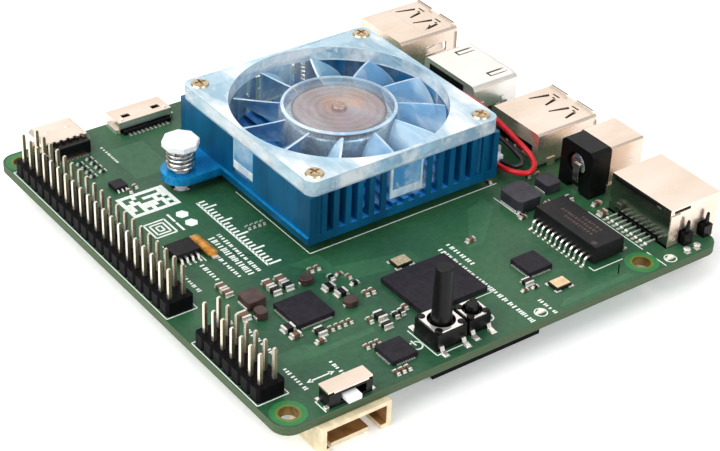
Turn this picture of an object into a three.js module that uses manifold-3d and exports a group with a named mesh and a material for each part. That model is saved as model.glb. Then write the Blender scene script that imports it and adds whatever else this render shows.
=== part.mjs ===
// Single board computer: a 90 mm square circuit board with a fan on a finned heat sink,
// two pin headers, three switches, a row of input and output sockets, and the sockets below.
// Millimetres, +Z up. The origin is the middle of the base of the whole object's box.
// Inside the "board" group the origin is the board's front left corner on its top face:
// +X runs along the front edge to the socket side, +Y runs back along the header side.
import * as THREE from "three";
import { mergeVertices } from "three/addons/utils/BufferGeometryUtils.js";
import Module from "manifold-3d";

const wasm = await Module();
wasm.setup();

// Driving dimensions
const BOARD_SIDE = 90;
const BOARD_THICKNESS = 1.6;
const BOARD_CORNER_RADIUS = 3;
const MOUNT_HOLE_RADIUS = 1.6;
const MOUNT_PAD_RADIUS = 3.0;
const MOUNT_PAD_THICKNESS = 0.06;
const MOUNT_HOLES = { left: 3.2, right: 74.4, front: 3.2, back: 86.6 };
const SOCKET_OVERHANG = 2.4;
const FRONT_OVERHANG = 1.2;
const BACK_OVERHANG = 1.2;
const LOWEST_BELOW_TOP = 6.6;
const GAP = 0.3;
const SOLDER_GAP = 0.02;
const UNDERSIDE = -BOARD_THICKNESS;
const HUNG_FROM = UNDERSIDE - SOLDER_GAP;

const PIN_PITCH = 2.54;
const PIN_WIDTH = 0.64;
const PIN_HOLE_WIDTH = 1.0;
const PIN_TOP = 8.2;
const PIN_TAIL = -3.0;
const HEADER_BASE_HEIGHT = 2.54;
const OUTER_PIN_ROW_X = 1.78;
const LONG_HEADER = { rows: 20, backY: 82.56 };
const SHORT_HEADER = { rows: 7, backY: 23.83 };

const COOLER = { x: 48.9, y: 54.9, side: 40 };
const SINK_BOTTOM = 2.0;
const SINK_TOP = 11.2;
const SINK_FLOOR = 3.6;
const SHORT_FIN_TOP = 4.5;
const FIN_COUNT = 17;
const FIN_THICKNESS = 1.1;
const FAN_TOP = 14.0;
const FAN_FLANGE = FAN_TOP - SINK_TOP;
const FAN_BOTTOM = 4.9;
const DUCT_INNER_RADIUS = 19.3;
const DUCT_OUTER_RADIUS = 20.14;
const POCKET_RADIUS = 20.26;
const DUCT_SIDES = 52;
const SCREW_SPACING = 35;
const SCREW_HEAD_RADIUS = 1.95;
const SCREW_HEAD_HEIGHT = 0.5;
const SCREW_SHANK_RADIUS = 1.15;
const SCREW_BOSS_RADIUS = 2.3;
const SCREW_HOLE_FLOOR = 4.2;
const SCREW_TIP = 6.0;
const BLADE_TIP_PLAY = 0.35;

const LUG_HOLE_RADIUS = 1.9;
const LUG_RADIUS = 3.6;
const LUG_ARM_REACH = 8;
const LUG_TOP = SINK_FLOOR - 0.1;
const LEFT_LUG = { x: -26.2, y: 10.0 };
const BACK_LUG = { x: 11.0, y: 24.0 };

// Materials
const paint = (color, roughness, metalness = 0) =>
  new THREE.MeshStandardMaterial({ color, roughness, metalness });
const clear = (color, opacity) =>
  new THREE.MeshStandardMaterial({ color, roughness: 0.08, transparent: true, opacity });
const solderMask = paint(0x2f6149, 0.45);
const blueAluminium = paint(0x0b5f8f, 0.35, 0.8);
const tin = paint(0xd9cbbd, 0.3, 0.9);
const gold = paint(0xd8c48a, 0.3, 0.9);
const steel = paint(0xb9b6ae, 0.3, 1);
const copper = paint(0xb06a35, 0.4, 0.9);
const blackPlastic = paint(0x17171a, 0.55);
const chipPlastic = paint(0x2c2a30, 0.6);
const ferrite = paint(0x3b3338, 0.7);
const whitePlastic = paint(0xf2f2f0, 0.45);
const beigePlastic = paint(0xe8dcbc, 0.5);
const bluePlastic = paint(0x2456a8, 0.5);
const clearPlastic = clear(0xc6e6f7, 0.35);
const padRubber = paint(0x9aa0a8, 0.9);
const redWire = paint(0xc8141c, 0.5);
const blackWire = paint(0x141416, 0.5);

// Solid modelling helpers
function solid(geometry) {
  let bare = geometry.index ? geometry.toNonIndexed() : geometry.clone();
  bare.deleteAttribute("normal");
  bare.deleteAttribute("uv");
  bare = mergeVertices(bare, 1e-5);
  const mesh = new wasm.Mesh({
    numProp: 3,
    vertProperties: new Float32Array(bare.attributes.position.array),
    triVerts: new Uint32Array(bare.index.array),
  });
  return new wasm.Manifold(mesh);
}

function toGeometry(body) {
  const mesh = body.getMesh();
  const geometry = new THREE.BufferGeometry();
  geometry.setAttribute("position", new THREE.BufferAttribute(mesh.vertProperties, 3));
  geometry.setIndex(new THREE.BufferAttribute(mesh.triVerts, 1));
  geometry.computeVertexNormals();
  return geometry;
}

function join(...bodies) {
  return bodies.flat().reduce((sum, body) => sum.add(body));
}

function cut(body, ...tools) {
  return tools.flat().reduce((rest, tool) => rest.subtract(tool), body);
}

function box(x0, x1, y0, y1, z0, z1) {
  const geometry = new THREE.BoxGeometry(x1 - x0, y1 - y0, z1 - z0);
  geometry.translate((x0 + x1) / 2, (y0 + y1) / 2, (z0 + z1) / 2);
  return solid(geometry);
}

function drum(x, y, z0, z1, radius, sides = 24, topRadius = radius) {
  const geometry = new THREE.CylinderGeometry(topRadius, radius, z1 - z0, sides);
  geometry.rotateX(Math.PI / 2);
  geometry.rotateZ(Math.PI / sides);
  geometry.translate(x, y, (z0 + z1) / 2);
  return solid(geometry);
}

function drumAlongX(x0, x1, y, z, radius, sides = 24) {
  const geometry = new THREE.CylinderGeometry(radius, radius, x1 - x0, sides);
  geometry.rotateZ(Math.PI / 2);
  geometry.translate((x0 + x1) / 2, y, z);
  return solid(geometry);
}

function slab(shape, z0, z1, curveSegments = 6) {
  const geometry = new THREE.ExtrudeGeometry(shape, {
    depth: z1 - z0,
    bevelEnabled: false,
    curveSegments,
  });
  geometry.translate(0, 0, z0);
  return solid(geometry);
}

function roundedRectangle(x0, x1, y0, y1, r) {
  const shape = new THREE.Shape();
  shape.moveTo(x0 + r, y0);
  shape.lineTo(x1 - r, y0);
  shape.absarc(x1 - r, y0 + r, r, -Math.PI / 2, 0);
  shape.lineTo(x1, y1 - r);
  shape.absarc(x1 - r, y1 - r, r, 0, Math.PI / 2);
  shape.lineTo(x0 + r, y1);
  shape.absarc(x0 + r, y1 - r, r, Math.PI / 2, Math.PI);
  shape.lineTo(x0, y0 + r);
  shape.absarc(x0 + r, y0 + r, r, Math.PI, Math.PI * 1.5);
  return shape;
}

// Extrudes a (y, z) outline along X.
function barAlongX(outline, x0, x1, curveSegments = 3) {
  const geometry = new THREE.ExtrudeGeometry(outline, {
    depth: x1 - x0,
    bevelEnabled: false,
    curveSegments,
  });
  const yzToBoard = new THREE.Matrix4().set(0, 0, 1, x0, 1, 0, 0, 0, 0, 1, 0, 0, 0, 0, 0, 1);
  geometry.applyMatrix4(yzToBoard);
  return solid(geometry);
}

function roundedBarAlongX(x0, x1, y0, y1, z0, z1, r) {
  return barAlongX(roundedRectangle(y0, y1, z0, z1, r), x0, x1);
}

// The scene: nested groups, one for the whole object, the board and each assembly on it
const computer = new THREE.Group();
const board = new THREE.Group();
board.position.set(
  -(BOARD_SIDE + SOCKET_OVERHANG) / 2,
  -(BOARD_SIDE + BACK_OVERHANG - FRONT_OVERHANG) / 2,
  LOWEST_BELOW_TOP,
);
computer.add(board);

function addPart(name, body, material, group = board, at = [0, 0, 0]) {
  const mesh = new THREE.Mesh(toGeometry(body), material.clone());
  mesh.name = name;
  mesh.position.set(...at);
  group.add(mesh);
  return mesh;
}

// Circuit board
const mountHoleCentres = [
  [MOUNT_HOLES.left, MOUNT_HOLES.front],
  [MOUNT_HOLES.right, MOUNT_HOLES.front],
  [MOUNT_HOLES.left, MOUNT_HOLES.back],
  [MOUNT_HOLES.right, MOUNT_HOLES.back],
];

function headerPinCentres({ rows, backY }) {
  const centres = [];
  for (let row = 0; row < rows; row += 1) {
    for (const column of [0, 1]) {
      centres.push([OUTER_PIN_ROW_X + column * PIN_PITCH, backY - row * PIN_PITCH]);
    }
  }
  return centres;
}

const NETWORK_JACK = { x0: 80.9, x1: 92.3, y0: 4.1, y1: 18.5, z0: -5.4, z1: 7.4 };

function squareColumn([x, y], width, z0, z1) {
  return box(x - width / 2, x + width / 2, y - width / 2, y + width / 2, z0, z1);
}

function makeCircuitBoard() {
  let body = slab(
    roundedRectangle(0, BOARD_SIDE, 0, BOARD_SIDE, BOARD_CORNER_RADIUS),
    UNDERSIDE,
    0,
  );
  const pads = mountHoleCentres.map(([x, y]) =>
    drum(x, y, UNDERSIDE - MOUNT_PAD_THICKNESS, UNDERSIDE + 0.5, MOUNT_PAD_RADIUS, 20));
  body = join(body, pads);
  const screwHoles = mountHoleCentres.map(([x, y]) =>
    drum(x, y, UNDERSIDE - 1, 1, MOUNT_HOLE_RADIUS, 20));
  const pinHoles = [...headerPinCentres(LONG_HEADER), ...headerPinCentres(SHORT_HEADER)].map(
    (centre) => squareColumn(centre, PIN_HOLE_WIDTH, UNDERSIDE - 1, 1));
  const lugHoles = [LEFT_LUG, BACK_LUG].map((lug) =>
    drum(COOLER.x + lug.x, COOLER.y + lug.y, UNDERSIDE - 1, 1, LUG_HOLE_RADIUS, 16));
  const notch = box(
    NETWORK_JACK.x0 - GAP, BOARD_SIDE + 1,
    NETWORK_JACK.y0 - GAP, NETWORK_JACK.y1 + GAP,
    UNDERSIDE - 1, 1,
  );
  return cut(body, screwHoles, pinHoles, lugHoles, notch);
}
addPart("circuit_board", makeCircuitBoard(), solderMask);

// Chips and the pad between the processor and the heat sink
function chip(name, x0, x1, y0, y1, height, material = chipPlastic, z0 = SOLDER_GAP) {
  addPart(name, box(x0, x1, y0, y1, z0, z0 + height), material);
}
chip("main_processor", COOLER.x - 8.5, COOLER.x + 8.5, COOLER.y - 8.5, COOLER.y + 8.5, 1.3);
chip("memory_chip", COOLER.x - 7.5, COOLER.x + 7.5, COOLER.y + 9.3, COOLER.y + 19.0, 1.0);
const PAD_BOTTOM = 1.33;
const PAD_THICKNESS = 0.66;
chip("thermal_pad", COOLER.x - 8, COOLER.x + 8, COOLER.y - 8, COOLER.y + 8, PAD_THICKNESS,
  padRubber, PAD_BOTTOM);
chip("flash_memory_chip", 34.4, 47.4, 10.9, 22.4, 1.0);
chip("power_manager_chip", 15.9, 22.9, 19.1, 26.1, 0.9);
chip("regulator_chip", 22.8, 27.6, 3.6, 8.4, 0.9);
chip("network_chip", 55.7, 60.6, 10.1, 15.0, 0.9);
chip("boot_memory_chip", 9.3, 14.1, 44.8, 48.6, 1.6);

function inductor(name, x0, x1, y0, y1, height) {
  const chamfer = 0.5;
  const outline = new THREE.Shape();
  outline.moveTo(x0 + chamfer, y0);
  outline.lineTo(x1 - chamfer, y0);
  outline.lineTo(x1, y0 + chamfer);
  outline.lineTo(x1, y1 - chamfer);
  outline.lineTo(x1 - chamfer, y1);
  outline.lineTo(x0 + chamfer, y1);
  outline.lineTo(x0, y1 - chamfer);
  outline.lineTo(x0, y0 + chamfer);
  addPart(name, slab(outline, SOLDER_GAP, height), ferrite);
}
inductor("input_inductor", 66.3, 71.7, 25.2, 31.2, 3.0);
inductor("core_power_inductor", 12.0, 15.5, 27.2, 30.8, 1.7);

// Network transformer: a long body with a row of gull-wing leads on each side
function makeTransformer() {
  const { x0, x1, y0, y1, z0, z1 } = { x0: 66.5, x1: 73.5, y0: 6.8, y1: 21.9, z0: 0.4, z1: 3.6 };
  const parts = [box(x0, x1, y0, y1, z0, z1)];
  const leadCount = 12;
  const leadPitch = 1.19;
  const leadReach = 1.7;
  const leadHalfWidth = 0.22;
  const leadLow = 1.5;
  const leadHigh = 1.8;
  const footLength = 0.9;
  const firstLead = (y0 + y1) / 2 - ((leadCount - 1) * leadPitch) / 2;
  for (let i = 0; i < leadCount; i += 1) {
    const y = firstLead + i * leadPitch;
    const [front, back] = [y - leadHalfWidth, y + leadHalfWidth];
    parts.push(box(x0 - leadReach, x0 + 0.1, front, back, leadLow, leadHigh));
    parts.push(box(x0 - leadReach, x0 - leadReach + footLength, front, back, 0, leadHigh));
    parts.push(box(x1 - 0.1, x1 + leadReach, front, back, leadLow, leadHigh));
    parts.push(box(x1 + leadReach - footLength, x1 + leadReach, front, back, 0, leadHigh));
  }
  return join(parts);
}
addPart("network_transformer", makeTransformer(), blackPlastic);

// Pin headers: two rows of square pins moulded into one plastic base
function makeHeader(header) {
  const centres = headerPinCentres(header);
  const frontY = header.backY - (header.rows - 1) * PIN_PITCH;
  const base = box(
    OUTER_PIN_ROW_X - PIN_PITCH / 2, OUTER_PIN_ROW_X + PIN_PITCH * 1.5,
    frontY - PIN_PITCH / 2, header.backY + PIN_PITCH / 2,
    0, HEADER_BASE_HEIGHT,
  );
  return join(base, centres.map((centre) => squareColumn(centre, PIN_WIDTH, PIN_TAIL, PIN_TOP)));
}
addPart("long_pin_header", makeHeader(LONG_HEADER), blackPlastic);
addPart("short_pin_header", makeHeader(SHORT_HEADER), blackPlastic);

// Cooler: heat sink, fan and what holds them. Its own origin is the fan's axis on the board.
const cooler = new THREE.Group();
cooler.position.set(COOLER.x, COOLER.y, 0);
board.add(cooler);
const halfSide = COOLER.side / 2;
const screwCentres = [
  ["back_left", -1, 1],
  ["back_right", 1, 1],
  ["front_right", 1, -1],
  ["front_left", -1, -1],
].map(([name, sx, sy]) => ({ name, x: (sx * SCREW_SPACING) / 2, y: (sy * SCREW_SPACING) / 2 }));

// A lug is a round eye joined to the floor by an arm as wide as the eye.
function leftLug(z0, z1) {
  const { x, y } = LEFT_LUG;
  const arm = box(x, x + LUG_ARM_REACH, y - LUG_RADIUS, y + LUG_RADIUS, z0, z1);
  return join(drum(x, y, z0, z1, LUG_RADIUS, 24), arm);
}

function backLug(z0, z1) {
  const { x, y } = BACK_LUG;
  const arm = box(x - LUG_RADIUS, x + LUG_RADIUS, y - LUG_ARM_REACH, y, z0, z1);
  return join(drum(x, y, z0, z1, LUG_RADIUS, 24), arm);
}

function makeHeatSink() {
  const floor = join(
    box(-halfSide, halfSide, -halfSide, halfSide, SINK_BOTTOM, SINK_FLOOR),
    leftLug(SINK_BOTTOM, LUG_TOP),
    backLug(SINK_BOTTOM, LUG_TOP),
  );
  const pitch = (COOLER.side - FIN_THICKNESS) / (FIN_COUNT - 1);
  const fins = [];
  for (let i = 0; i < FIN_COUNT; i += 1) {
    const x = -halfSide + i * pitch;
    fins.push(box(x, x + FIN_THICKNESS, -halfSide, halfSide, SINK_FLOOR - 0.2, SINK_TOP));
  }
  const bosses = screwCentres.map(({ x, y }) =>
    drum(x, y, SINK_FLOOR - 0.2, SINK_TOP, SCREW_BOSS_RADIUS, 16));
  const pocket = drum(0, 0, SHORT_FIN_TOP, SINK_TOP + 1, POCKET_RADIUS, DUCT_SIDES);
  const screwHoles = screwCentres.map(({ x, y }) =>
    drum(x, y, SCREW_HOLE_FLOOR, SINK_TOP + 1, SCREW_SHANK_RADIUS + 0.2, 12));
  const lugHoles = [LEFT_LUG, BACK_LUG].map(({ x, y }) => drum(x, y, 0, 6, LUG_HOLE_RADIUS, 16));
  return cut(join(floor, fins, bosses), pocket, screwHoles, lugHoles);
}
addPart("heat_sink", makeHeatSink(), blueAluminium, cooler);

const HUB_SEAT_TOP = FAN_BOTTOM + 0.9;
const BEARING_RADIUS = 1.9;

function makeFanFrame() {
  const flange = slab(
    roundedRectangle(-halfSide, halfSide, -halfSide, halfSide, 1.6), SINK_TOP, FAN_TOP, 3);
  const duct = drum(0, 0, FAN_BOTTOM, SINK_TOP + 0.2, DUCT_OUTER_RADIUS, DUCT_SIDES);
  const square = box(-halfSide, halfSide, -halfSide, halfSide, 0, FAN_TOP + 1);
  const throat = drum(0, 0, 0, FAN_TOP + 1, DUCT_INNER_RADIUS, DUCT_SIDES);
  const seat = drum(0, 0, FAN_BOTTOM, HUB_SEAT_TOP, 10.5, 32);
  const spokes = [30, 150, 270].map((degrees) => {
    const spoke = new THREE.BoxGeometry(10.6, 2.2, HUB_SEAT_TOP - FAN_BOTTOM);
    spoke.translate(14.7, 0, (HUB_SEAT_TOP + FAN_BOTTOM) / 2);
    spoke.rotateZ(THREE.MathUtils.degToRad(degrees));
    return solid(spoke);
  });
  const leadNotch = box(halfSide - 3, halfSide + 1, -3.6, -0.6, 8.2, SINK_TOP + 0.01);
  const screwHoles = screwCentres.map(({ x, y }) => drum(x, y, 0, FAN_TOP + 1, 1.6, 12));
  const shell = cut(join(flange, duct).intersect(square), throat, screwHoles, leadNotch);
  const bearingHole = drum(0, 0, 0, FAN_TOP, BEARING_RADIUS + 0.1, 20);
  return cut(join(shell, seat, spokes), bearingHole);
}
addPart("fan_frame", makeFanFrame(), clearPlastic, cooler);

const HUB_RADIUS = 10.6;
const HUB_TOP = 13.2;
const HUB_BOTTOM = HUB_SEAT_TOP + 0.5;
const HUB_WALL = 0.9;
const BLADE_COUNT = 11;
const BLADE_HALF_THICKNESS = 0.4;
const BLADE_HALF_SWEEPS = [0.10, 0.125, 0.15];
const BLADE_LEAN = -0.06;
const BLADE_PHASE = 0.05;
const HUB_SIDES = BLADE_COUNT * 4;

function makeBlade(index) {
  const rootRadius = HUB_RADIUS - 0.5;
  const tipRadius = DUCT_INNER_RADIUS - BLADE_TIP_PLAY;
  const low = HUB_BOTTOM + 0.2;
  const high = HUB_TOP - 0.7;
  const turn = BLADE_PHASE + (index * Math.PI * 2) / BLADE_COUNT;
  const sections = BLADE_HALF_SWEEPS.map((sweep, section) => {
    const radius = rootRadius + ((tipRadius - rootRadius) * section) / 2;
    const middle = turn + section * BLADE_LEAN;
    const half = BLADE_HALF_THICKNESS / radius;
    return [
      [low, middle - sweep - half], [low, middle - sweep + half],
      [high, middle + sweep + half], [high, middle + sweep - half],
    ].map(([z, angle]) => [radius * Math.cos(angle), radius * Math.sin(angle), z]);
  });
  const positions = [];
  const point = (section, corner) => sections[section][corner];
  const quad = (a, b, c, d) => positions.push(...a, ...c, ...b, ...a, ...d, ...c);
  for (let s = 0; s < sections.length - 1; s += 1) {
    for (let k = 0; k < 4; k += 1) {
      const next = (k + 1) % 4;
      quad(point(s, k), point(s + 1, k), point(s + 1, next), point(s, next));
    }
  }
  quad(point(0, 0), point(0, 1), point(0, 2), point(0, 3));
  quad(point(2, 3), point(2, 2), point(2, 1), point(2, 0));
  const geometry = new THREE.BufferGeometry();
  geometry.setAttribute("position", new THREE.Float32BufferAttribute(positions, 3));
  return solid(geometry);
}

function makeFanRotor() {
  const cup = cut(
    drum(0, 0, HUB_BOTTOM, HUB_TOP, HUB_RADIUS, HUB_SIDES),
    drum(0, 0, HUB_BOTTOM - 1, HUB_TOP - HUB_WALL, HUB_RADIUS - HUB_WALL, HUB_SIDES),
  );
  const blades = Array.from({ length: BLADE_COUNT }, (_, index) => makeBlade(index));
  const shaft = drum(0, 0, HUB_BOTTOM, HUB_TOP - 0.2, 0.75, 12);
  return join(cup, blades, shaft);
}
addPart("fan_rotor", makeFanRotor(), clearPlastic, cooler);

function ring(z0, z1, outer, inner, sides = 32) {
  return cut(drum(0, 0, z0, z1, outer, sides), drum(0, 0, z0 - 1, z1 + 1, inner, sides));
}
addPart("fan_magnet", ring(HUB_BOTTOM + 0.3, HUB_TOP - HUB_WALL - 0.3, 9.5, 8.5), steel, cooler);
addPart("fan_bearing", ring(FAN_BOTTOM + 0.2, HUB_TOP - HUB_WALL - 0.5, BEARING_RADIUS, 0.95, 20),
  gold, cooler);

function makeStator() {
  const low = HUB_SEAT_TOP + 1.0;
  const high = HUB_TOP - HUB_WALL - 0.7;
  const middle = (low + high) / 2;
  const core = drum(0, 0, low, high, 3.6, 20);
  const arms = [0, 90, 180, 270].map((degrees) => {
    const arm = new THREE.BoxGeometry(4.6, 2.2, high - low);
    arm.translate(5.2, 0, middle);
    arm.rotateZ(THREE.MathUtils.degToRad(degrees));
    return solid(arm);
  });
  const shoes = ring(middle - 0.6, middle + 0.6, 8.0, 7.0);
  const slots = [45, 135, 225, 315].map((degrees) => {
    const slot = new THREE.BoxGeometry(4, 1.6, 4);
    slot.translate(7.5, 0, middle);
    slot.rotateZ(THREE.MathUtils.degToRad(degrees));
    return solid(slot);
  });
  return cut(join(core, arms, shoes), slots, drum(0, 0, 0, FAN_TOP, BEARING_RADIUS + 0.15, 20));
}
addPart("fan_stator", makeStator(), copper, cooler);

// Fan screws: a low round head with a cross slot
function makeFanScrew() {
  const headTop = FAN_TOP + SCREW_HEAD_HEIGHT;
  const slotFloor = headTop - 0.35;
  const slot = { halfLength: 1.2, halfWidth: 0.25 };
  const head = drum(0, 0, FAN_TOP, headTop, SCREW_HEAD_RADIUS, 20, SCREW_HEAD_RADIUS * 0.87);
  const shank = drum(0, 0, SCREW_TIP, FAN_TOP + 0.1, SCREW_SHANK_RADIUS, 12);
  const across = box(
    -slot.halfLength, slot.halfLength, -slot.halfWidth, slot.halfWidth, slotFloor, headTop + 1);
  const down = box(
    -slot.halfWidth, slot.halfWidth, -slot.halfLength, slot.halfLength, slotFloor, headTop + 1);
  return cut(join(head, shank), across, down);
}
for (const { name, x, y } of screwCentres) {
  addPart(`fan_screw_${name}`, makeFanScrew(), gold, cooler, [x, y, 0]);
}

// Push pins and their springs, which press the heat sink on the processor
const PUSH_PIN_CAP = { z0: 8.0, z1: 9.6, radius: 3.4 };

function makePushPin() {
  const cap = drum(0, 0, PUSH_PIN_CAP.z0, PUSH_PIN_CAP.z1, PUSH_PIN_CAP.radius, 8);
  const shank = drum(0, 0, -3.2, PUSH_PIN_CAP.z0 + 0.1, 1.4, 16);
  const barb = drum(0, 0, -3.4, -2.1, 1.2, 16, 1.85);
  const split = box(-0.3, 0.3, -3, 3, -4, -0.6);
  return cut(join(cap, shank, barb), split);
}

function makeSpring() {
  const wireRadius = 0.34;
  const coilRadius = 2.25;
  const z0 = LUG_TOP + wireRadius + 0.02;
  const z1 = PUSH_PIN_CAP.z0 - wireRadius - 0.02;
  const turns = 4.5;
  class Helix extends THREE.Curve {
    getPoint(t) {
      const angle = t * turns * Math.PI * 2;
      return new THREE.Vector3(
        coilRadius * Math.cos(angle), coilRadius * Math.sin(angle), z0 + t * (z1 - z0));
    }
  }
  const section = new THREE.Shape();
  section.absarc(0, 0, wireRadius, 0, Math.PI * 2);
  const geometry = new THREE.ExtrudeGeometry(section, {
    steps: 40,
    curveSegments: 3,
    extrudePath: new Helix(),
  });
  return solid(geometry);
}
for (const [name, lug] of [["left", LEFT_LUG], ["back", BACK_LUG]]) {
  addPart(`push_pin_${name}`, makePushPin(), whitePlastic, cooler, [lug.x, lug.y, 0]);
  addPart(`push_pin_spring_${name}`, makeSpring(), steel, cooler, [lug.x, lug.y, 0]);
}

// Fan leads, their plug and its socket on the board
const FAN_SOCKET = { x0: 70.2, x1: 74.6, y0: 40.4, y1: 45.0, z1: 3.6 };

function makeFanSocket() {
  const { x0, x1, y0, y1, z1 } = FAN_SOCKET;
  const cavity = box(x0 + 0.5, x1 - 0.5, y0 - 1, y1 - 1.2, 0.6, z1 - 0.5);
  const contacts = [1.6, 2.8].map((x) =>
    box(x0 + x - 0.2, x0 + x + 0.2, y1 - 3.4, y1 - 1, 1.7, 2.1));
  return join(cut(box(x0, x1, y0, y1, 0, z1), cavity), contacts);
}
addPart("fan_socket", makeFanSocket(), whitePlastic);

function makeFanPlug() {
  const { x0, x1, y0, y1, z1 } = FAN_SOCKET;
  const body = box(x0 + 0.8, x1 - 0.8, y0 - 1.6, y1 - 1.5, 0.9, z1 - 0.8);
  const contactHoles = [1.6, 2.8].map((x) =>
    box(x0 + x - 0.5, x0 + x + 0.5, y1 - 3.7, y1 + 1, 1.4, 2.4));
  return cut(body, contactHoles);
}
addPart("fan_plug", makeFanPlug(), whitePlastic);

const WIRE_RADIUS = 0.52;
// Route points run from the fan frame's side notch, round the loop and into the plug's front.
const RED_ROUTE = [
  [69.2, 53.6, 9.9],
  [70.6, 52.6, 10.2],
  [72.4, 50.0, 10.3],
  [74.0, 46.4, 9.2],
  [75.2, 42.6, 7.4],
  [76.4, 38.8, 5.2],
  [77.2, 35.6, 3.4],
  [76.6, 33.6, 2.3],
  [74.8, 32.9, 1.8],
  [73.0, 34.2, 1.8],
  [72.0, 36.4, 1.85],
  [71.8, 38.45, 1.85],
];
const BLACK_ROUTE = [
  [69.2, 52.0, 9.3],
  [70.4, 50.8, 9.0],
  [71.8, 48.0, 8.6],
  [73.0, 44.8, 7.3],
  [74.0, 41.2, 5.6],
  [74.9, 38.0, 4.2],
  [75.3, 35.9, 3.2],
  [74.9, 35.0, 2.6],
  [74.1, 35.3, 2.1],
  [73.4, 36.6, 1.9],
  [73.1, 38.45, 1.85],
];

function makeWire(route) {
  const path = new THREE.CatmullRomCurve3(route.map((point) => new THREE.Vector3(...point)));
  const section = new THREE.Shape();
  const sides = 8;
  for (let i = 0; i < sides; i += 1) {
    const angle = (i * Math.PI * 2) / sides;
    const x = WIRE_RADIUS * Math.cos(angle);
    const y = WIRE_RADIUS * Math.sin(angle);
    if (i === 0) section.moveTo(x, y);
    else section.lineTo(x, y);
  }
  return solid(new THREE.ExtrudeGeometry(section, { steps: 24, extrudePath: path }));
}
addPart("fan_wire_red", makeWire(RED_ROUTE), redWire);
addPart("fan_wire_black", makeWire(BLACK_ROUTE), blackWire);

// USB ports: a folded metal shell round a plastic tongue and back block
const USB_PORT = { x0: 78.6, x1: 92.4, width: 13.1, z1: 7.0, wall: 0.35 };

function makeUsbShell(y0) {
  const { x0, x1, width, z1, wall } = USB_PORT;
  const outer = roundedBarAlongX(x0, x1, y0, y0 + width, 0.2, z1, 0.7);
  const inner = box(x0 + 1.2, x1 + 1, y0 + wall, y0 + width - wall, 0.2 + wall, z1 - wall);
  const springs = [0.3, 0.7].map((share) => {
    const y = y0 + width * share;
    return box(x1 - 6.2, x1 - 1.6, y - 0.9, y + 0.9, z1 - 1, z1 + 1);
  });
  const sideWindow = box(x1 - 7.5, x1 - 2.6, y0 - 1, y0 + width + 1, 2.4, 4.4);
  const rear = box(x0 - 1, x0 + 1.3, y0 + 1.5, y0 + width - 1.5, -1, 4.2);
  return cut(outer, inner, springs, sideWindow, rear);
}

function makeUsbInsert(y0) {
  const { x0, x1, width, z1, wall } = USB_PORT;
  const side = wall + GAP;
  const back = box(
    x0 + 1.5, x0 + 4.4, y0 + side, y0 + width - side, 0.2 + side, z1 - side);
  const tongue = box(x0 + 4, x1 - 1, y0 + 1.3, y0 + width - 1.3, 4.0, 5.8);
  return join(back, tongue);
}
for (const [name, y0] of [["back", 75.7], ["middle", 35.2]]) {
  addPart(`usb_port_${name}_shell`, makeUsbShell(y0), tin);
  addPart(`usb_port_${name}_insert`, makeUsbInsert(y0), bluePlastic);
}

// Video port: a shell with slanted lower corners round a flat tongue
const VIDEO_PORT = { x0: 80.8, x1: 91.3, y0: 56.0, y1: 71.0, z0: 0.3, z1: 6.0, wall: 0.4 };
const VIDEO_SLANT = 2.0;
const VIDEO_SPRINGS = [0.18, 0.82];

function videoOutline(inset) {
  const { y0, y1, z0, z1 } = VIDEO_PORT;
  const shape = new THREE.Shape();
  const slantEnd = z0 + VIDEO_SLANT + inset * 0.5;
  shape.moveTo(y0 + VIDEO_SLANT + inset * 0.5, z0 + inset);
  shape.lineTo(y1 - VIDEO_SLANT - inset * 0.5, z0 + inset);
  shape.lineTo(y1 - inset, slantEnd);
  shape.lineTo(y1 - inset, z1 - inset);
  shape.lineTo(y0 + inset, z1 - inset);
  shape.lineTo(y0 + inset, slantEnd);
  return shape;
}

function videoBar(x0, x1, inset) {
  return barAlongX(videoOutline(inset), x0, x1);
}

function makeVideoShell() {
  const { x0, x1, y0, y1, z1, wall } = VIDEO_PORT;
  const springs = VIDEO_SPRINGS.map((share) => {
    const y = y0 + (y1 - y0) * share;
    return box(x1 - 5.0, x1 - 0.8, y - 0.8, y + 0.8, z1 - 1, z1 + 1);
  });
  const rearWindow = box(x0 - 1, x0 + 1.6, y0 + 1.6, y1 - 1.6, -1, z1 - 0.9);
  return cut(videoBar(x0, x1, 0), videoBar(x0 + 1, x1 + 1, wall), springs, rearWindow);
}
addPart("video_port_shell", makeVideoShell(), tin);
addPart("video_port_insert", join(
  videoBar(VIDEO_PORT.x0 + 1.9, VIDEO_PORT.x0 + 4.2, VIDEO_PORT.wall + GAP),
  box(VIDEO_PORT.x0 + 4, VIDEO_PORT.x1 - 0.8, VIDEO_PORT.y0 + 2.2, VIDEO_PORT.y1 - 2.2, 2.6, 3.6),
), blackPlastic);

// Power jack: a black rear block, a metal front shield, the centre pin and a spring contact
const POWER_JACK = { x0: 79.7, split: 83.8, x1: 91.6, y0: 22.4, y1: 30.4, z1: 9.2 };
const JACK_AXIS = { y: (POWER_JACK.y0 + POWER_JACK.y1) / 2, z: 4.9 };

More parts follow.
